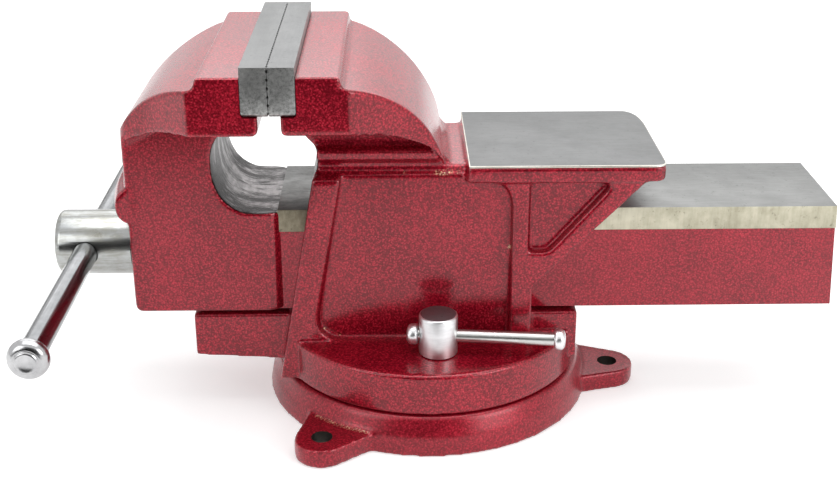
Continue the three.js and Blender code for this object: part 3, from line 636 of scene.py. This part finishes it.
def makeMovingJaw():
    m = movingJaw
    middle = [(m["noseReach"] - m["noseSag"] * (y / m["halfWidth"]) ** 2, y)
              for y in np.linspace(34, -34, 15)]
    solids = [makeHead(-1, m["plan"], middle), frontBody(), noseBead(), block(*m["stub"])]
    casting = cast("moving jaw", solids, m["voxel"], m["passes"])
    markCurves(casting)
    start, half, line = slideBar["channelStart"], slideBar["channelHalf"], (0, 0, m["spindleZ"])
    cutWith(
        casting, seatCut(-1), block(start, -60, -half, half, 50, slideBar["channelTop"]),
        rod(m["screwBore"], m["boreStart"], start + 4, "x", line),
        rod(m["headBore"], m["boreStart"], m["headSeat"], "x", line, 64), *plateScrewHoles(-1),
    )

    # bare steel in the throat, darkened towards its foot and its near end as painted shade
    x, y, z = pointVectors(casting.data, "co").T / mm
    normals = pointVectors(casting.data, "normal")
    inside = softStep(jaw["line"] - x, -2, 3) * softStep(x, -122.8, -120.6)
    inside *= softStep(z, 121.5, 124.2) * (1 - softStep(z, 179.5, 181.5))
    facing = 1 - softStep(np.abs(normals[:, 1]), 0.35, 0.75)
    steep = 1 - softStep(normals[:, 2], 0.25, 0.95)
    markPoints(casting, "bare", inside * facing)
    markPoints(casting, "grimeAndShade", steep * softStep(-y, -30, 30) * softStep(-z, -172, -130))
    return finishPiece(casting, "moving_jaw", "sliding_jaw", [redPaintBare],
                       ["sliding_jaw_casting"])


def slideEndAt(z):
    share = (z - slideBar["bottom"]) / (slideBar["top"] - slideBar["bottom"])
    return slideBar["endX"] - slideBar["endDraft"] * share


def makeSlideBar():
    # the milled top and band stand a touch proud of the painted sides and end
    bar = slideBar
    band, half, slot = bar["halfWidth"], bar["halfWidth"] - bar["paintStep"], bar["channelHalf"]
    foot, edge, top, endX = bar["bottom"], bar["bandBottom"], bar["top"], bar["endX"]
    obj = prism([
        (-half, foot), (half, foot), (half, edge), (band, edge + 0.3), (band, top),
        (-band, top), (-band, edge + 0.3), (-half, edge),
    ], -100, endX + 5, "x")
    cutWith(obj, prism([
        (endX + 9, foot - 3), (slideEndAt(foot), foot - 3), (slideEndAt(foot), foot),
        (slideEndAt(edge) - bar["paintStep"], edge), (slideEndAt(edge), edge + 0.3),
        (slideEndAt(top), top), (slideEndAt(top), top + 3), (endX + 9, top + 3),
    ], -60, 60))
    applied(addRim(obj, 0.7, 40))
    underJaw = reachX(movingJaw["endReach"], -1) + 0.2
    cutWith(obj, block(-104, underJaw, -60, 60, throat["floor"] - 0.1, top + 5),
            block(-104, endX + 4, -slot, slot, foot - 4, bar["channelTop"]))
    bm = bmesh.new()
    bm.from_mesh(obj.data)
    bmesh.ops.bisect_plane(bm, geom=[*bm.verts, *bm.edges, *bm.faces],
                           plane_co=(bar["shadeEnd"] * mm, 0, 0), plane_no=(1, 0, 0))
    bmesh.ops.triangulate(bm, faces=bm.faces[:])
    bm.to_mesh(obj.data)
    bm.free()

    def rule(centre, normal):
        x, y, z = centre
        inChannel = abs(y) < slot + 0.5 and z < bar["channelTop"] + 0.5
        if inChannel and normal.x < 0.3 and normal.z < 0.3:
            return 3
        # the top and the band, in their darker copies nearer the throat as painted shade
        if z > edge + 0.25:
            return (1 if normal.z > 0.5 else 2) + (3 if x < bar["shadeEnd"] else 0)
        return 0

    return finishPiece(obj, "slide_bar", "sliding_jaw",
                       [smoothRed, slideTopSteel, railSteel, darkCastAndShade, shadedSlideTop, shadedSlideBand], paint=rule)


movingJawPiece = makeMovingJaw()
makeSlideBar()
print("moving jaw made:", len(movingJawPiece.data.polygons), "faces")

# Fixed jaw casting
fixedJaw = {
    "plan": [(42.5, 75), (66.0, 61.6), (82.2, 53.4), (92.2, 49.4)],
    "discRadius": 90.5, "discBottom": 22.1, "discTop": 47.2,
    "pivotRadius": 18, "pivotDepth": 12, "panelHalf": 42,
    "ribHalf": 48, "top": 148, "foot": 30,
    "footReach": 1.5, "throatEdge": 22.1, "endX": 58.5,
    "leftRib": 15.5, "rightRib": 12.5, "neckHalf": 40,
    "lip": [(37, 165.4), (41, 164.2), (44.2, 163.2), (45.2, 162.4), (45, 159), (44.7, 156.6)],
    "cove": (43.6, 151.8, 4.7),  # its centre from the middle, its height and its radius
    "coveEnd": 19,
    "ribTop": [(49, 145.6), (48.05, 145.9), (47.8, 146.5), (47, 147.1), (45, 147.3), (44, 147.4), (44, 149),
               (49, 149)],
    "saddle": [(7, 157.5), (8.6, 156), (10.4, 153.9), (12.4, 151.7), (14.6, 150.9), (16.6, 150.9),
               (18.4, 151.5), (19.9, 152.7), (21, 154.2)],
    "saddleSide": [(39.6, 141), (39.6, 148.4), (39, 149.8), (37.6, 151), (35.4, 151.8), (33, 158), (33, 165)],
    "tongueEnd": -137, "tongueTop": 60.5, "tongueBottom": 31,
    "tongueHalf": 38,
    "throatUpper": [(0.48, 0.91), (0.76, 0.78), (0.96, 0.69), (1, 0.54)],
    "throatLower": [(0.92, 0.34), (0.78, 0.18)],
    "floorEnd": 86.3, "footFillet": 2,
    "slideHole": (-145, 128, -36.9, 36.9, 62.8, 125.4),
    "lockPlaces": {"front": (4.397, -61.343), "rear": (-4.397, 61.343)},
    "lockBore": 5.3, "voxel": 1.05, "passes": 4,
    # a painted highlight line at the panel's foot by the left rib, painted glints along the cove, and one
    # spot on the panel
    "wearAndGlint": [
        *[(-61 + 1.1 * i, -43, 53.4 - 0.5 * i, 1.1) for i in range(9)], (45, -43, 104, 1.8),
        (4, -41, 148.6, 2), (7, -41, 148.2, 2.4), (10.5, -40.5, 148.4, 2.4), (15.5, -41, 149, 1.6),
        (-14, -41, 149, 1.4), (-8, -41.5, 151, 1.2),
    ],
}
anvil = {
    "top": 155, "thickness": 10, "half": 50,
    "startX": 21, "endX": 130.5, "corner": 7,
    "farCorner": (11, 30),
    "machined": 1.3, "gussetEnd": 120.5, "gussetFoot": 81,
    "band": 15.5, "pocketFoot": 103, "pocketStart": 9.4,
}


def rearThroat():
    height = jaw["bottom"] - throat["floor"]
    return smoothThrough(placed([
        (throat["rearReach"] * out, throat["floor"] + height * up)
        for out, up in fixedJaw["throatUpper"] + fixedJaw["throatLower"]], 1), 5)


def frontEdgeX(z):
    footX = reachX(fixedJaw["footReach"], -1)
    topX, topZ = rearThroat()[-1]
    return footX + (topX - footX) * (z - fixedJaw["foot"]) / (topZ - fixedJaw["foot"])


def anvilPlan(inset=0.0):
    # the far corner is ground away further than the near one
    half, end, r = anvil["half"] - inset, anvil["endX"] - inset, anvil["corner"]
    start, wide = anvil["startX"] + inset, anvil["farCorner"]
    near = [(end - r * (1 - t) ** 2, -half + r * t ** 2) for t in np.linspace(0, 1, 8)]
    far = [(end - wide[0] * t ** 2, half - wide[1] * (1 - t) ** 2) for t in np.linspace(0, 1, 14)]
    return [(start, -half), *near, *far, (start, half)]


def fixedSolids():
    f = fixedJaw
    endX, foot, top, wall = f["endX"], f["foot"], f["top"], f["panelHalf"]
    footX, low, rim = reachX(f["footReach"], -1), f["discBottom"], f["discRadius"]
    disc = turned([
        (0, low - f["pivotDepth"]), (f["pivotRadius"], low - f["pivotDepth"]), (f["pivotRadius"], low),
        (rim - 1.2, low), (rim, low + 1.2), *arc(rim - 1.6, f["discTop"] - 1.6, 1.6, 0, 90, 4),
        (0, f["discTop"]),
    ], "z", segments=240)
    scoop = rearThroat()
    lower = [p for p in scoop if p[1] < top - 0.6]
    slideBox = prism([(footX, foot), (endX, foot), (endX, top - 0.6), (lower[0][0], top - 0.6), *lower],
                     -wall, wall)
    neckX = scoop[20][0]  # where the throat's curve passes into its lower half
    neck = prism([
        *[p for p in scoop if p[1] > top - 5], (neckX, top - 5), (22, top - 5), (22, 152),
        (reachX(domeReachAt(153), 1) - 0.3, 152), (reachX(domeReachAt(jaw["domeFoot"]), 1) - 0.3, 157),
        *placed(underside(3), 1), (reachX(jaw["sideReach"], 1), jaw["bottom"] + 3),
        (reachX(jaw["lipReach"] + jaw["lipBevel"], 1), jaw["bottom"]),
    ], -f["neckHalf"], f["neckHalf"])
    lip = [(38, f["cove"][1]), (f["lip"][-1][0], f["cove"][1]), *reversed(f["lip"])]
    ledge = prism(lip + [(-y, z) for y, z in reversed(lip)], reachX(f["throatEdge"], 1), 4.8, "x")
    saddle = prism([(-2, 144), (22.5, 144), (22.5, 154.2), *reversed(smoothThrough(f["saddle"], 4)),
                    (-2, 161)], -46.5, 46.5)
    side = f["saddleSide"]
    keepWithin(saddle, prism(side + [(-y, z) for y, z in reversed(side)], -4, 24, "x"))
    for solid in (slideBox, neck, ledge, saddle):
        cutWith(solid, coveCut(-1), coveCut(1))
    r, ground = f["footFillet"], f["discTop"]
    fillet = [(wall - 2.5, ground - 2.5), (wall + r, ground - 2.5), *quarter(wall, ground, -r),
              (wall - 2.5, ground + r)]
    footing = [prism([(y * edge, z) for y, z in fillet], -66, 52, "x") for edge in (-1, 1)]
    head = makeHead(1, f["plan"], [(92.4, y) for y in np.linspace(44, -44, 9)])
    slab = prism(anvilPlan(), anvil["top"] - anvil["thickness"], anvil["top"] - 0.9, "z")
    tongue = prism([(f["tongueEnd"], f["tongueBottom"] + 3), (footX, f["tongueBottom"]),
                    (f["floorEnd"], f["tongueBottom"]), (f["floorEnd"], f["tongueTop"]),
                    (f["tongueEnd"], f["tongueTop"])], -f["tongueHalf"], f["tongueHalf"])
    webX = endX - f["rightRib"]
    web = prism([(webX, anvil["gussetFoot"]), (endX, anvil["gussetFoot"]), (anvil["gussetEnd"], 145),
                 (anvil["gussetEnd"], 149), (webX, 149)], -wall, wall)
    return [disc, slideBox, neck, ledge, saddle, head, slab, tongue, web, *footing, *sidePlates()]


def rounded(points, radii):
    # an outline whose corners are rounded, each by its own amount
    made = []
    for i, radius in enumerate(radii):
        corner, ends = np.array(points[i], float), []
        for near in (points[i - 1], points[(i + 1) % len(points)]):
            way = np.array(near, float) - corner
            length = np.linalg.norm(way)
            ends.append(corner + way / length * min(radius, length * 0.48))
        for t in np.linspace(0, 1, 7 if radius else 1):
            made.append(tuple(ends[0] * (1 - t) ** 2 + corner * 2 * t * (1 - t) + ends[1] * t ** 2))
    return made


def sidePlates():
    # the raised frame on each side: two ribs, the anvil's strut, and the recesses between
    f, under = fixedJaw, anvil["top"] - anvil["thickness"]
    endX, foot, top, ribX = f["endX"], f["discBottom"] + 1, f["top"], f["endX"] - f["rightRib"]
    strutFoot, strutEnd = anvil["gussetFoot"], anvil["gussetEnd"]
    slope = (strutEnd - endX) / (under - strutFoot)
    pocketX, pocketZ = ribX + anvil["pocketStart"], anvil["pocketFoot"]

    def innerX(z):
        return frontEdgeX(z) + f["leftRib"]

    def strutX(z):
        return endX + (z - strutFoot) * slope - anvil["band"]

    whole = [
        (frontEdgeX(foot), foot), (endX, foot), (endX, strutFoot), (strutEnd, under),
        (strutEnd, under + 4), (22, under + 4), (22, top), (frontEdgeX(top), top),
    ]
    recess = rounded([
        (innerX(f["discTop"]), f["discTop"] + 0.2), (ribX, f["discTop"] + 0.2), (ribX, under - 0.5),
        (19, under - 0.5), (19, top + 6), (innerX(top + 6), top + 6),
    ], [19, 6, 17, 3, 0, 0])
    pocket = rounded([
        (pocketX, pocketZ - 1), (strutX(pocketZ) + 2.2, pocketZ - 1),
        (strutX(under - 1) - 1.5, under - 1), (pocketX, under - 1),
    ], [3, 4, 9, 2])
    plates = []
    for edge in (-1, 1):
        inner, outer = sorted((edge * f["panelHalf"], edge * (f["ribHalf"] + 3)))
        plates.append(prism(whole, *sorted((edge * 38, edge * f["ribHalf"]))))
        cutWith(plates[-1], prism(recess, inner, outer), prism(pocket, inner, outer), ribTopCut(edge))
    return plates


def coveCut(edge):
    # the hollow under the lip, along the top of the side panel
    middle, height, radius = fixedJaw["cove"]
    hollow = arc(middle, height, radius, 253.5, 84, 22)
    points = [*hollow, (middle + 7, hollow[-1][1]), (middle + 7, hollow[0][1])]
    return prism([(y * edge, z) for y, z in points], -70, fixedJaw["coveEnd"], "x")


def ribTopCut(edge):
    return prism([(y * edge, z) for y, z in fixedJaw["ribTop"]], -75, 20.4, "x")


def makeFixedJaw():
    f = fixedJaw
    casting = cast("fixed jaw", fixedSolids(), f["voxel"], f["passes"])
    markCurves(casting)
    bores = [rod(f["lockBore"], 0, 60, "z", (*place, 0), 40) for place in f["lockPlaces"].values()]
    cutWith(casting, seatCut(1), block(*f["slideHole"]), *plateScrewHoles(1), *bores)

    # bare steel in the throat and in the slide's hole, whose walls are marked darker as well
    x, y, z = pointVectors(casting.data, "co").T / mm
    normals = pointVectors(casting.data, "normal")
    inside = softStep(z, 122, 126) * (1 - softStep(z, 178, 181)) * (1 - softStep(x, -61.4, -60.2))
    facing = softStep(-normals[:, 0], 0.5, 0.8) * (1 - softStep(np.abs(y), 37.5, 39.5))
    slot = softStep(z, 62, 63) * (1 - softStep(z, 125, 126)) * (1 - softStep(np.abs(y), 37, 37.4))
    slot *= softStep(np.abs(normals[:, 1]) + np.abs(normals[:, 2]), 0.8, 0.95)
    markPoints(casting, "bare", np.clip(inside * facing * 0.8 + slot, 0, 1))
    markPoints(casting, "grimeAndShade", slot)
    markWearAndGlints(casting, f["wearAndGlint"])
    return finishPiece(casting, "fixed_jaw", "static_jaw", [redPaintBare],
                       ["static_jaw_casting"])


def makeAnvilTop():
    # the machined face stands on the casting with a small chamfer; the chamfer and sides are much brighter
    # steel than the top, a painted highlight along the edge
    obj = prism(anvilPlan(0.1), anvil["top"] - anvil["machined"], anvil["top"], "z")
    applied(addRim(obj, 0.8, 50))
    return finishPiece(obj, "anvil_face", "static_jaw", [anvilSteel, edgeHighlightSteel],
                       paint=lambda centre, normal: 0 if normal.z > 0.95 else 1)


fixedJawPiece = makeFixedJaw()
makeAnvilTop()
print("fixed jaw made:", len(fixedJawPiece.data.polygons), "faces")

# Swivel base
base = {
    "radius": 97.5, "topRadius": 91.5, "draft": 2,
    "top": 21.8, "lugCircle": 111.2, "lugAngle": -3.46,
    "lugStart": 79.5, "lugTip": 15.5, "lugRoot": 27,
    "lugHeight": 11, "hole": 6,
    "slot": [(52, 5), (71, 5), (71, 14), (67, 14), (67, 26), (56, 26), (56, 14), (52, 14)],
    "window": (11, 61.5, 45),  # its radius, its middle from the axis and its direction
    "pivotRadius": 18.3, "pivotFloor": 9.8, "rimLineRadius": 96.4,
    "voxel": 1.2, "passes": 4,
}


def makeBase():
    b = base
    start, root, middle, over = b["lugStart"], b["lugRoot"], b["lugCircle"], b["top"] + 4.2
    body = turned([(0, 0), (b["radius"], 0), (b["radius"] - b["draft"], b["lugHeight"]),
                   (b["topRadius"], b["top"] - 1.2), (b["topRadius"] - 1.2, b["top"]), (0, b["top"])],
                  "z", segments=240)
    spread = degrees(atan2(root - b["lugTip"], middle - start))
    lug = [(start, root), (start, -root), *arc(middle, 0, b["lugTip"], spread - 90, 90 - spread, 20)]
    lugs, holes, places = [], [], []
    for i in range(3):
        turn = radians(b["lugAngle"] + 120 * i)
        cosine, sine = cos(turn), sin(turn)
        lugs.append(prism([(x * cosine - y * sine, x * sine + y * cosine) for x, y in lug],
                          0, b["lugHeight"], "z"))
        places.append((middle * cosine, middle * sine, 0))
        holes.append(rod(b["hole"], -3, 14, "z", places[-1]))
    casting = cast("swivel base", [body, *lugs], b["voxel"], b["passes"])
    markCurves(casting)
    radius, away, turn = b["window"]
    turn = radians(turn)
    window = rod(radius, 5, over, "z", (away * cos(turn), away * sin(turn), 0))
    pivot = rod(b["pivotRadius"], b["pivotFloor"], over, "z", segments=64)
    cutWith(casting, *holes, turned(b["slot"], "z", segments=120, closed=True), window, pivot)
    # a thin line lightened along the base's rim beside one lug
    rim = radians(b["lugAngle"] - 120)
    markWearAndGlints(casting, [(b["rimLineRadius"] * cos(rim + turn), b["rimLineRadius"] * sin(rim + turn),
                        b["lugHeight"] + 0.4, 0.9) for turn in np.linspace(-0.16, 0.2, 44)])

    # the lug holes' walls take the dark cast iron as painted shade inside the holes
    def inHole(centre, normal):
        near = min(hypot(centre[0] - x, centre[1] - y) for x, y, z in places)
        return 1 if near < b["hole"] + 0.05 and abs(normal.z) < 0.5 else 0

    return finishPiece(casting, "base_casting", "base", [redPaint, darkCastAndShade],
                       ["swivel_base"], paint=inHole)


basePiece = makeBase()
print("base made:", len(basePiece.data.polygons), "faces")


# Jaw plates with a cross-cut grip
plate = {
    "thickness": 14.05, "bottom": 191.3, "top": 218,
    "corner": 3, "rim": 0.45, "groovePitch": 3.2,
    "grooveWidth": 1.5, "grooveDepth": 0.55,
}


def grooves(face, side, lean):
    # one mesh of parallel V cuts across the gripping face
    p = plate
    bm = bmesh.new()
    middle, wide = (p["bottom"] + p["top"]) / 2, p["grooveWidth"] / 2
    run, rise = cos(radians(45)), sin(radians(45)) * lean
    count = int(200 / p["groovePitch"]) // 2
    for i in range(-count, count + 1):
        y = i * p["groovePitch"] * sqrt(2)
        joinRings(bm, [[
            bm.verts.new([(face + side * deep) * mm, (y + end * run - rise * offset) * mm,
                          (middle + end * rise + run * offset) * mm])
            for offset, deep in ((-wide, -0.3), (wide, -0.3), (0, p["grooveDepth"]))
        ] for end in (-24, 24)])
    return linkMesh("grooves", bm)


def makePlate(side, name, body, replaced):
    # the lower outer edge is rounded all along, and the ends of the lower edge too
    p = plate
    half, r, low, top = jaw["width"] / 2, p["corner"], p["bottom"], p["top"]
    face = jaw["line"] + side * 0.15
    back = face + side * p["thickness"]
    obj = prism([(face, top), (face, low + 0.5), (face + side * 0.5, low), *quarter(back, low, side * r),
                 (back, top)], -half, half)
    keepWithin(obj, prism([
        *arc(-half + r, low + r, r, 180, 270, 6), *arc(half - r, low + r, r, 270, 360, 6),
        (half, top + 1), (-half, top + 1)], -120, -60, "x"))
    applied(addRim(obj, p["rim"], 40))
    cutWith(obj, grooves(face, side, 1), grooves(face, side, -1), *plateScrewHoles(side))
    return finishPiece(obj, name, body, [plateSteel, plateTopSteel], [replaced],
                       paint=lambda centre, normal: 1 if centre[2] > top - 0.5 else 0)


def makePlateScrew(side, y, name, body, replaced):
    # socket screw, its head 1 mm below the plate's face
    tip, z = jaw["seatReach"] + 18, jaw["screwZ"]
    profile = [(0, 1), (6.5, 1), (7, 1.5), (7, 7), (4, 7), (4, tip - 1), (3, tip), (0, tip)]
    obj = turned([(r, side * h) for r, h in profile], "x", (jaw["line"], y, z), 48)
    cutWith(obj, prism(arc(y, z, 3.46, 0, 300, 5),
                       *sorted((jaw["line"] + side * 0.5, jaw["line"] + side * 5)), "x"))
    return finishPiece(obj, name, body, [blackSteel], [replaced])


for side, end, body in ((1, "rear", "static_jaw"), (-1, "front", "sliding_jaw")):
    makePlate(side, end + "_plate", body, end + "_jaw_plate")
    for y, place in ((-jaw["screwY"], "near"), (jaw["screwY"], "far")):
        makePlateScrew(side, y, f"{end}_socket_screw_{place}", body, f"{end}_plate_screw_{place}")
print("jaw plates made")

# Spindle with its screw thread, and the T-bar
spindle = {
    "z": movingJaw["spindleZ"],
    "headStart": -219.2, "headEnd": -173.2, "headRadius": 19.3,
    "screwRadius": 12, "rootRadius": 9.6, "pitch": 5,
    "screwEnd": 151.8, "threadStart": -128, "barX": -200.8,
    "barRadius": 7, "barHalf": 153, "capRadius": 10.8,
    "capLength": 10, "pinX": -137.3, "pinRadius": 2.8,
}


def makeSpindle():
    s = spindle
    start, end, radius = s["headStart"], s["headEnd"], s["headRadius"]
    screw, root, screwEnd = s["screwRadius"], s["rootRadius"], s["screwEnd"]
    body = turned([
        (0, start), (radius - 4.2, start), (radius - 2.6, start + 0.35), (radius - 1.2, start + 1.2),
        (radius - 0.35, start + 2.4), (radius, start + 4), (radius, end - 1.2), (radius - 1.2, end),
        (screw, end), (screw, s["threadStart"]), (root, s["threadStart"] + 2),
        (root, screwEnd - 1), (root - 1, screwEnd), (0, screwEnd),
    ], "x", (0, 0, s["z"]), 96)
    hole = turned([(0, -30), (8.6, -30), (7.3, -18), (7.3, 18), (8.6, 30), (0, 30)], "y",
                  (s["barX"], 0, s["z"]), 64)
    cutWith(body, hole, rod(s["pinRadius"], -20, 20, "y", (s["pinX"], 0, s["z"]), 32))
    return finishPiece(body, "spindle_shaft", "spindle", [turnedChrome], ["spindle"])


def makeThread():
    # square-shouldered thread wound along the shaft, fading in and out over half a turn
    s = spindle
    bm = bmesh.new()
    core, steps = s["rootRadius"] - 0.6, 40
    count = int((s["screwEnd"] - s["threadStart"] - 6) / s["pitch"]) * steps
    profile = [(core, -1.7), (s["screwRadius"], -1.1), (s["screwRadius"], 1.1), (core, 1.7)]
    rings = []
    for i in range(count + 1):
        angle = 2 * pi * i / steps
        x = s["threadStart"] + 3 + s["pitch"] * i / steps
        fade = min(1, i / steps * 2, (count - i) / steps * 2)
        ring = []
        for r, across in profile:
            reach = core + (r - core) * fade
            place = (x + across, reach * cos(angle), reach * sin(angle) + s["z"])
            ring.append(bm.verts.new([value * mm for value in place]))
        rings.append(ring)
    joinRings(bm, rings)
    return finishPiece(linkMesh("thread", bm), "spindle_thread", "spindle", [satinChrome])


def makeBar():
    s, r, length = spindle, spindle["capRadius"], spindle["capLength"]
    shoulder, line = s["barHalf"] - length, (s["barX"], 0, s["z"])
    finishPiece(rod(s["barRadius"], -shoulder, shoulder, "y", line, 64), "t_bar", "spindle_bar",
                [barChrome], ["spindle_bar"])
    profile = [
        (0, 0.1), (r - 3.4, 0.1), (r - 2, 0.4), (r - 1, 1.1), (r - 0.3, 2.2), (r, 3.6), (r - 0.1, 5),
        (r - 0.5, 6.3), (r - 1.2, 7.4), (r - 2.2, 8.2), (r - 3.3, 8.75), (r - 4, 8.9), (r - 4.3, 8.85),
        (r - 4.6, 9.1), (r - 4.9, 9.6), (r - 5.4, length - 0.1), (r - 6, length - 0.1),
        (r - 6.8, 9.7), (r - 8, 9.45), (r - 9.4, 9.35), (0, 9.3),
    ]
    for side, name in ((-1, "near"), (1, "far")):
        cap = turned([(radius, side * (shoulder + h)) for radius, h in profile], "y", line, 72)
        finishPiece(cap, f"t_bar_cap_{name}", "spindle_bar", [capChrome],
                    [f"spindle_bar_cap_{name}"], sharp=50)


makeSpindle()
makeThread()
makeBar()
print("spindle and bar made")

# Swivel locks: nut, small bar and its caps
lock = {
    "turn": -5.8, "bottom": 47.5, "radius": 11,
    "height": 24, "barZ": 58, "barRadius": 3.65,
    "barBore": 3.8, "boltTop": 53.1, "reach": 65.2,
    "capRadius": 6, "capLength": 6.6,
}


def alongBar(profile, place, turn):
    # a profile turned about the small bar's own axis
    obj = turned(profile, "x", segments=48)
    where = Matrix.Translation([place[0] * mm, place[1] * mm, lock["barZ"] * mm])
    obj.data.transform(where @ Matrix.Rotation(turn, 4, "Z"))
    return obj


def makeLocks():
    k, low, top = lock, lock["bottom"], lock["bottom"] + lock["height"]
    shoulder, side = k["radius"] + 0.3, k["radius"]
    r, length = k["capRadius"], k["capLength"]
    profile = [(0, 0.1), (r - 1.6, 0.1), (r - 0.5, 0.5), (r, 1.5), (r, length - 2.6),
               (r - 0.4, length - 1.5), (r - 1.4, length - 0.6), (r - 2.6, length - 0.15),
               (r - 4, length), (0, length)]
    for end, place in fixedJaw["lockPlaces"].items():
        turn = radians(k["turn"] + (180 if end == "rear" else 0))
        nut = turned([
            (0, low), (side - 0.5, low), (side, low + 0.5), (side, top - 1.3), (side - 0.25, top - 0.6),
            (side - 0.9, top - 0.12), (side - 1.5, top), (0, top),
        ], "z", (*place, 0), 72)
        bore = alongBar([(0, -20), (k["barBore"], -20), (k["barBore"], 20), (0, 20)], place, turn)
        cutWith(nut, bore, rod(fixedJaw["lockBore"], 40, k["boltTop"], "z", (*place, 0), 40))
        finishPiece(nut, f"swivel_lock_nut_{end}", f"lock_nut_{end}",
                    [satinChrome, nutTop], [f"lock_nut_{end}"],
                    paint=lambda centre, normal: 1 if centre[2] > top - 0.1 else 0)
        bar = alongBar([(0, -shoulder), (k["barRadius"], -shoulder), (k["barRadius"], k["reach"]),
                        (0, k["reach"])], place, turn)
        finishPiece(bar, f"swivel_lock_bar_{end}", f"lock_bar_{end}", [smallBarChrome],
                    [f"lock_bar_{end}"])
        for name, start, way in (("inner", -shoulder, -1), ("outer", k["reach"], 1)):
            cap = alongBar([(radius, start + way * h) for radius, h in profile], place, turn)
            finishPiece(cap, f"swivel_lock_cap_{name}_{end}", f"lock_bar_{end}",
                        [satinChrome], [f"lock_bar_cap_{name}_{end}"], sharp=50)


makeLocks()
print("swivel locks made")

# CAD nodes whose shape is right keep it, with a small rim on their edges
for material, slot, names in (
    (castBronze, "bronze", ["spindle_nut"]),
    (blackSteel, "black_steel",
     ["nut_bolt_front", "nut_bolt_rear", "lock_bolt_front", "lock_bolt_rear", "spindle_collar"]),
    (satinChrome, "satin_chrome", ["thrust_washer", "collar_pin"]),
):
    for name in names:
        nodes[name].data.materials.clear()
        nodes[name].data.materials.append(material)
        addRim(nodes[name], 0.3, 30)

# Stage: pale floor, soft lamps, and dark and glowing cards that only polished metal and gloss see
stage = {
    "floorDiffuse": 0.74, "floorLift": 0.45, "ambient": 0.5,
    "lamps": [
        # name, place, aimed at, width, height, watts
        ("overhead softbox", (0.0, 0.1, 1.5), (0, 0, 0.1), 1.6, 1.2, 17),
        ("rear softbox", (0.0, 1.5, 1.16), (0, 0, 0.15), 2.6, 1.05, 10.6),
        ("left softbox", (-1.0, -1.0, 0.7), (-0.05, 0, 0.12), 0.8, 0.8, 4.6),
        ("right softbox", (1.1, -1.0, 0.7), (0.1, 0, 0.1), 0.8, 0.8, 8.4),
    ],
    "cards": [
        # name, tone, glow, corners across, height or place, and the axis it faces
        ("front_card", 0.003, 0, (-1300, 0, 650, 1000), -1305, "y"),
        ("table_card", 0.003, 0, (-1300, -1300, 60, -507), 0, "z"),
        ("table_edge_card", 0.0, 1.3, (-900, -505, 900, -415), 0, "z"),
        ("rear_card", 0.0, 0.33, (80, 0, 250, 130), 200, "y"),
        ("left_rear_card", 0.0, 0.2, (-2200, 0, -620, 170), 1200, "y"),
    ],
}


def seenRays(tree):
    path = tree.nodes.new("ShaderNodeLightPath")
    total = path.outputs["Is Camera Ray"]
    for ray in ("Is Glossy Ray", "Is Transmission Ray"):
        total = maths("MAXIMUM", total, path.outputs[ray])
    return total


def makeFloor():
    floor = block(-4000, 4000, -4000, 4000, -30, -0.3)
    floor.name = "pale_floor"
    material = bpy.data.materials.new("pale floor")
    material.use_nodes = True
    tree = material.node_tree
    tree.nodes.clear()
    out = tree.nodes.new("ShaderNodeOutputMaterial")
    diffuse = addNode(tree, "BsdfDiffuse", inputs={"Color": [stage["floorDiffuse"]] * 3})
    lift = addNode(tree, "Emission", inputs={"Strength": ramp(seenRays(tree), 0, stage["floorLift"])})
    both = addNode(tree, "AddShader", inputs={0: diffuse.outputs[0], 1: lift.outputs[0]})
    feed(out, {"Surface": both.outputs[0]})
    floor.data.materials.append(material)


def makeCard(name, tone, glow, corners, level, axis):
    a0, b0, a1, b1 = corners
    card = prism([(a0, b0), (a1, b0), (a1, b1), (a0, b1)], level, level + 1, axis)
    card.name = name
    material, shader, _ = startMaterial(name)
    feed(shader, {"Base Color": [tone] * 3, "Roughness": 1, "Specular IOR Level": 0,
                        "Emission Color": (1, 1, 1), "Emission Strength": glow})
    card.data.materials.append(material)
    for ray in ("camera", "diffuse", "shadow", "transmission"):
        setattr(card, "visible_" + ray, False)


def makeLamp(name, place, aim, width, height, watts):
    data = bpy.data.lights.new(name, "AREA")
    data.shape = "RECTANGLE"
    data.size = width
    data.size_y = height
    data.energy = watts
    lamp = linkObject(name, data)
    lamp.location = place
    lamp.visible_camera = False
    x, y, z = [a - p for a, p in zip(aim, place)]
    lamp.rotation_euler = (atan2(hypot(x, y), -z), 0, atan2(y, x) - pi / 2)


def makeStage():
    scene = bpy.context.scene
    scene.view_settings.view_transform = "Standard"
    scene.world = bpy.data.worlds.new("studio")
    scene.world.use_nodes = True
    tree = scene.world.node_tree
    feed(tree.nodes["Background"], {
        "Color": (1, 1, 1), "Strength": ramp(seenRays(tree), stage["ambient"], 1)})
    makeFloor()
    for card in stage["cards"]:
        makeCard(*card)
    for lamp in stage["lamps"]:
        makeLamp(*lamp)


makeStage()
print("stage made")
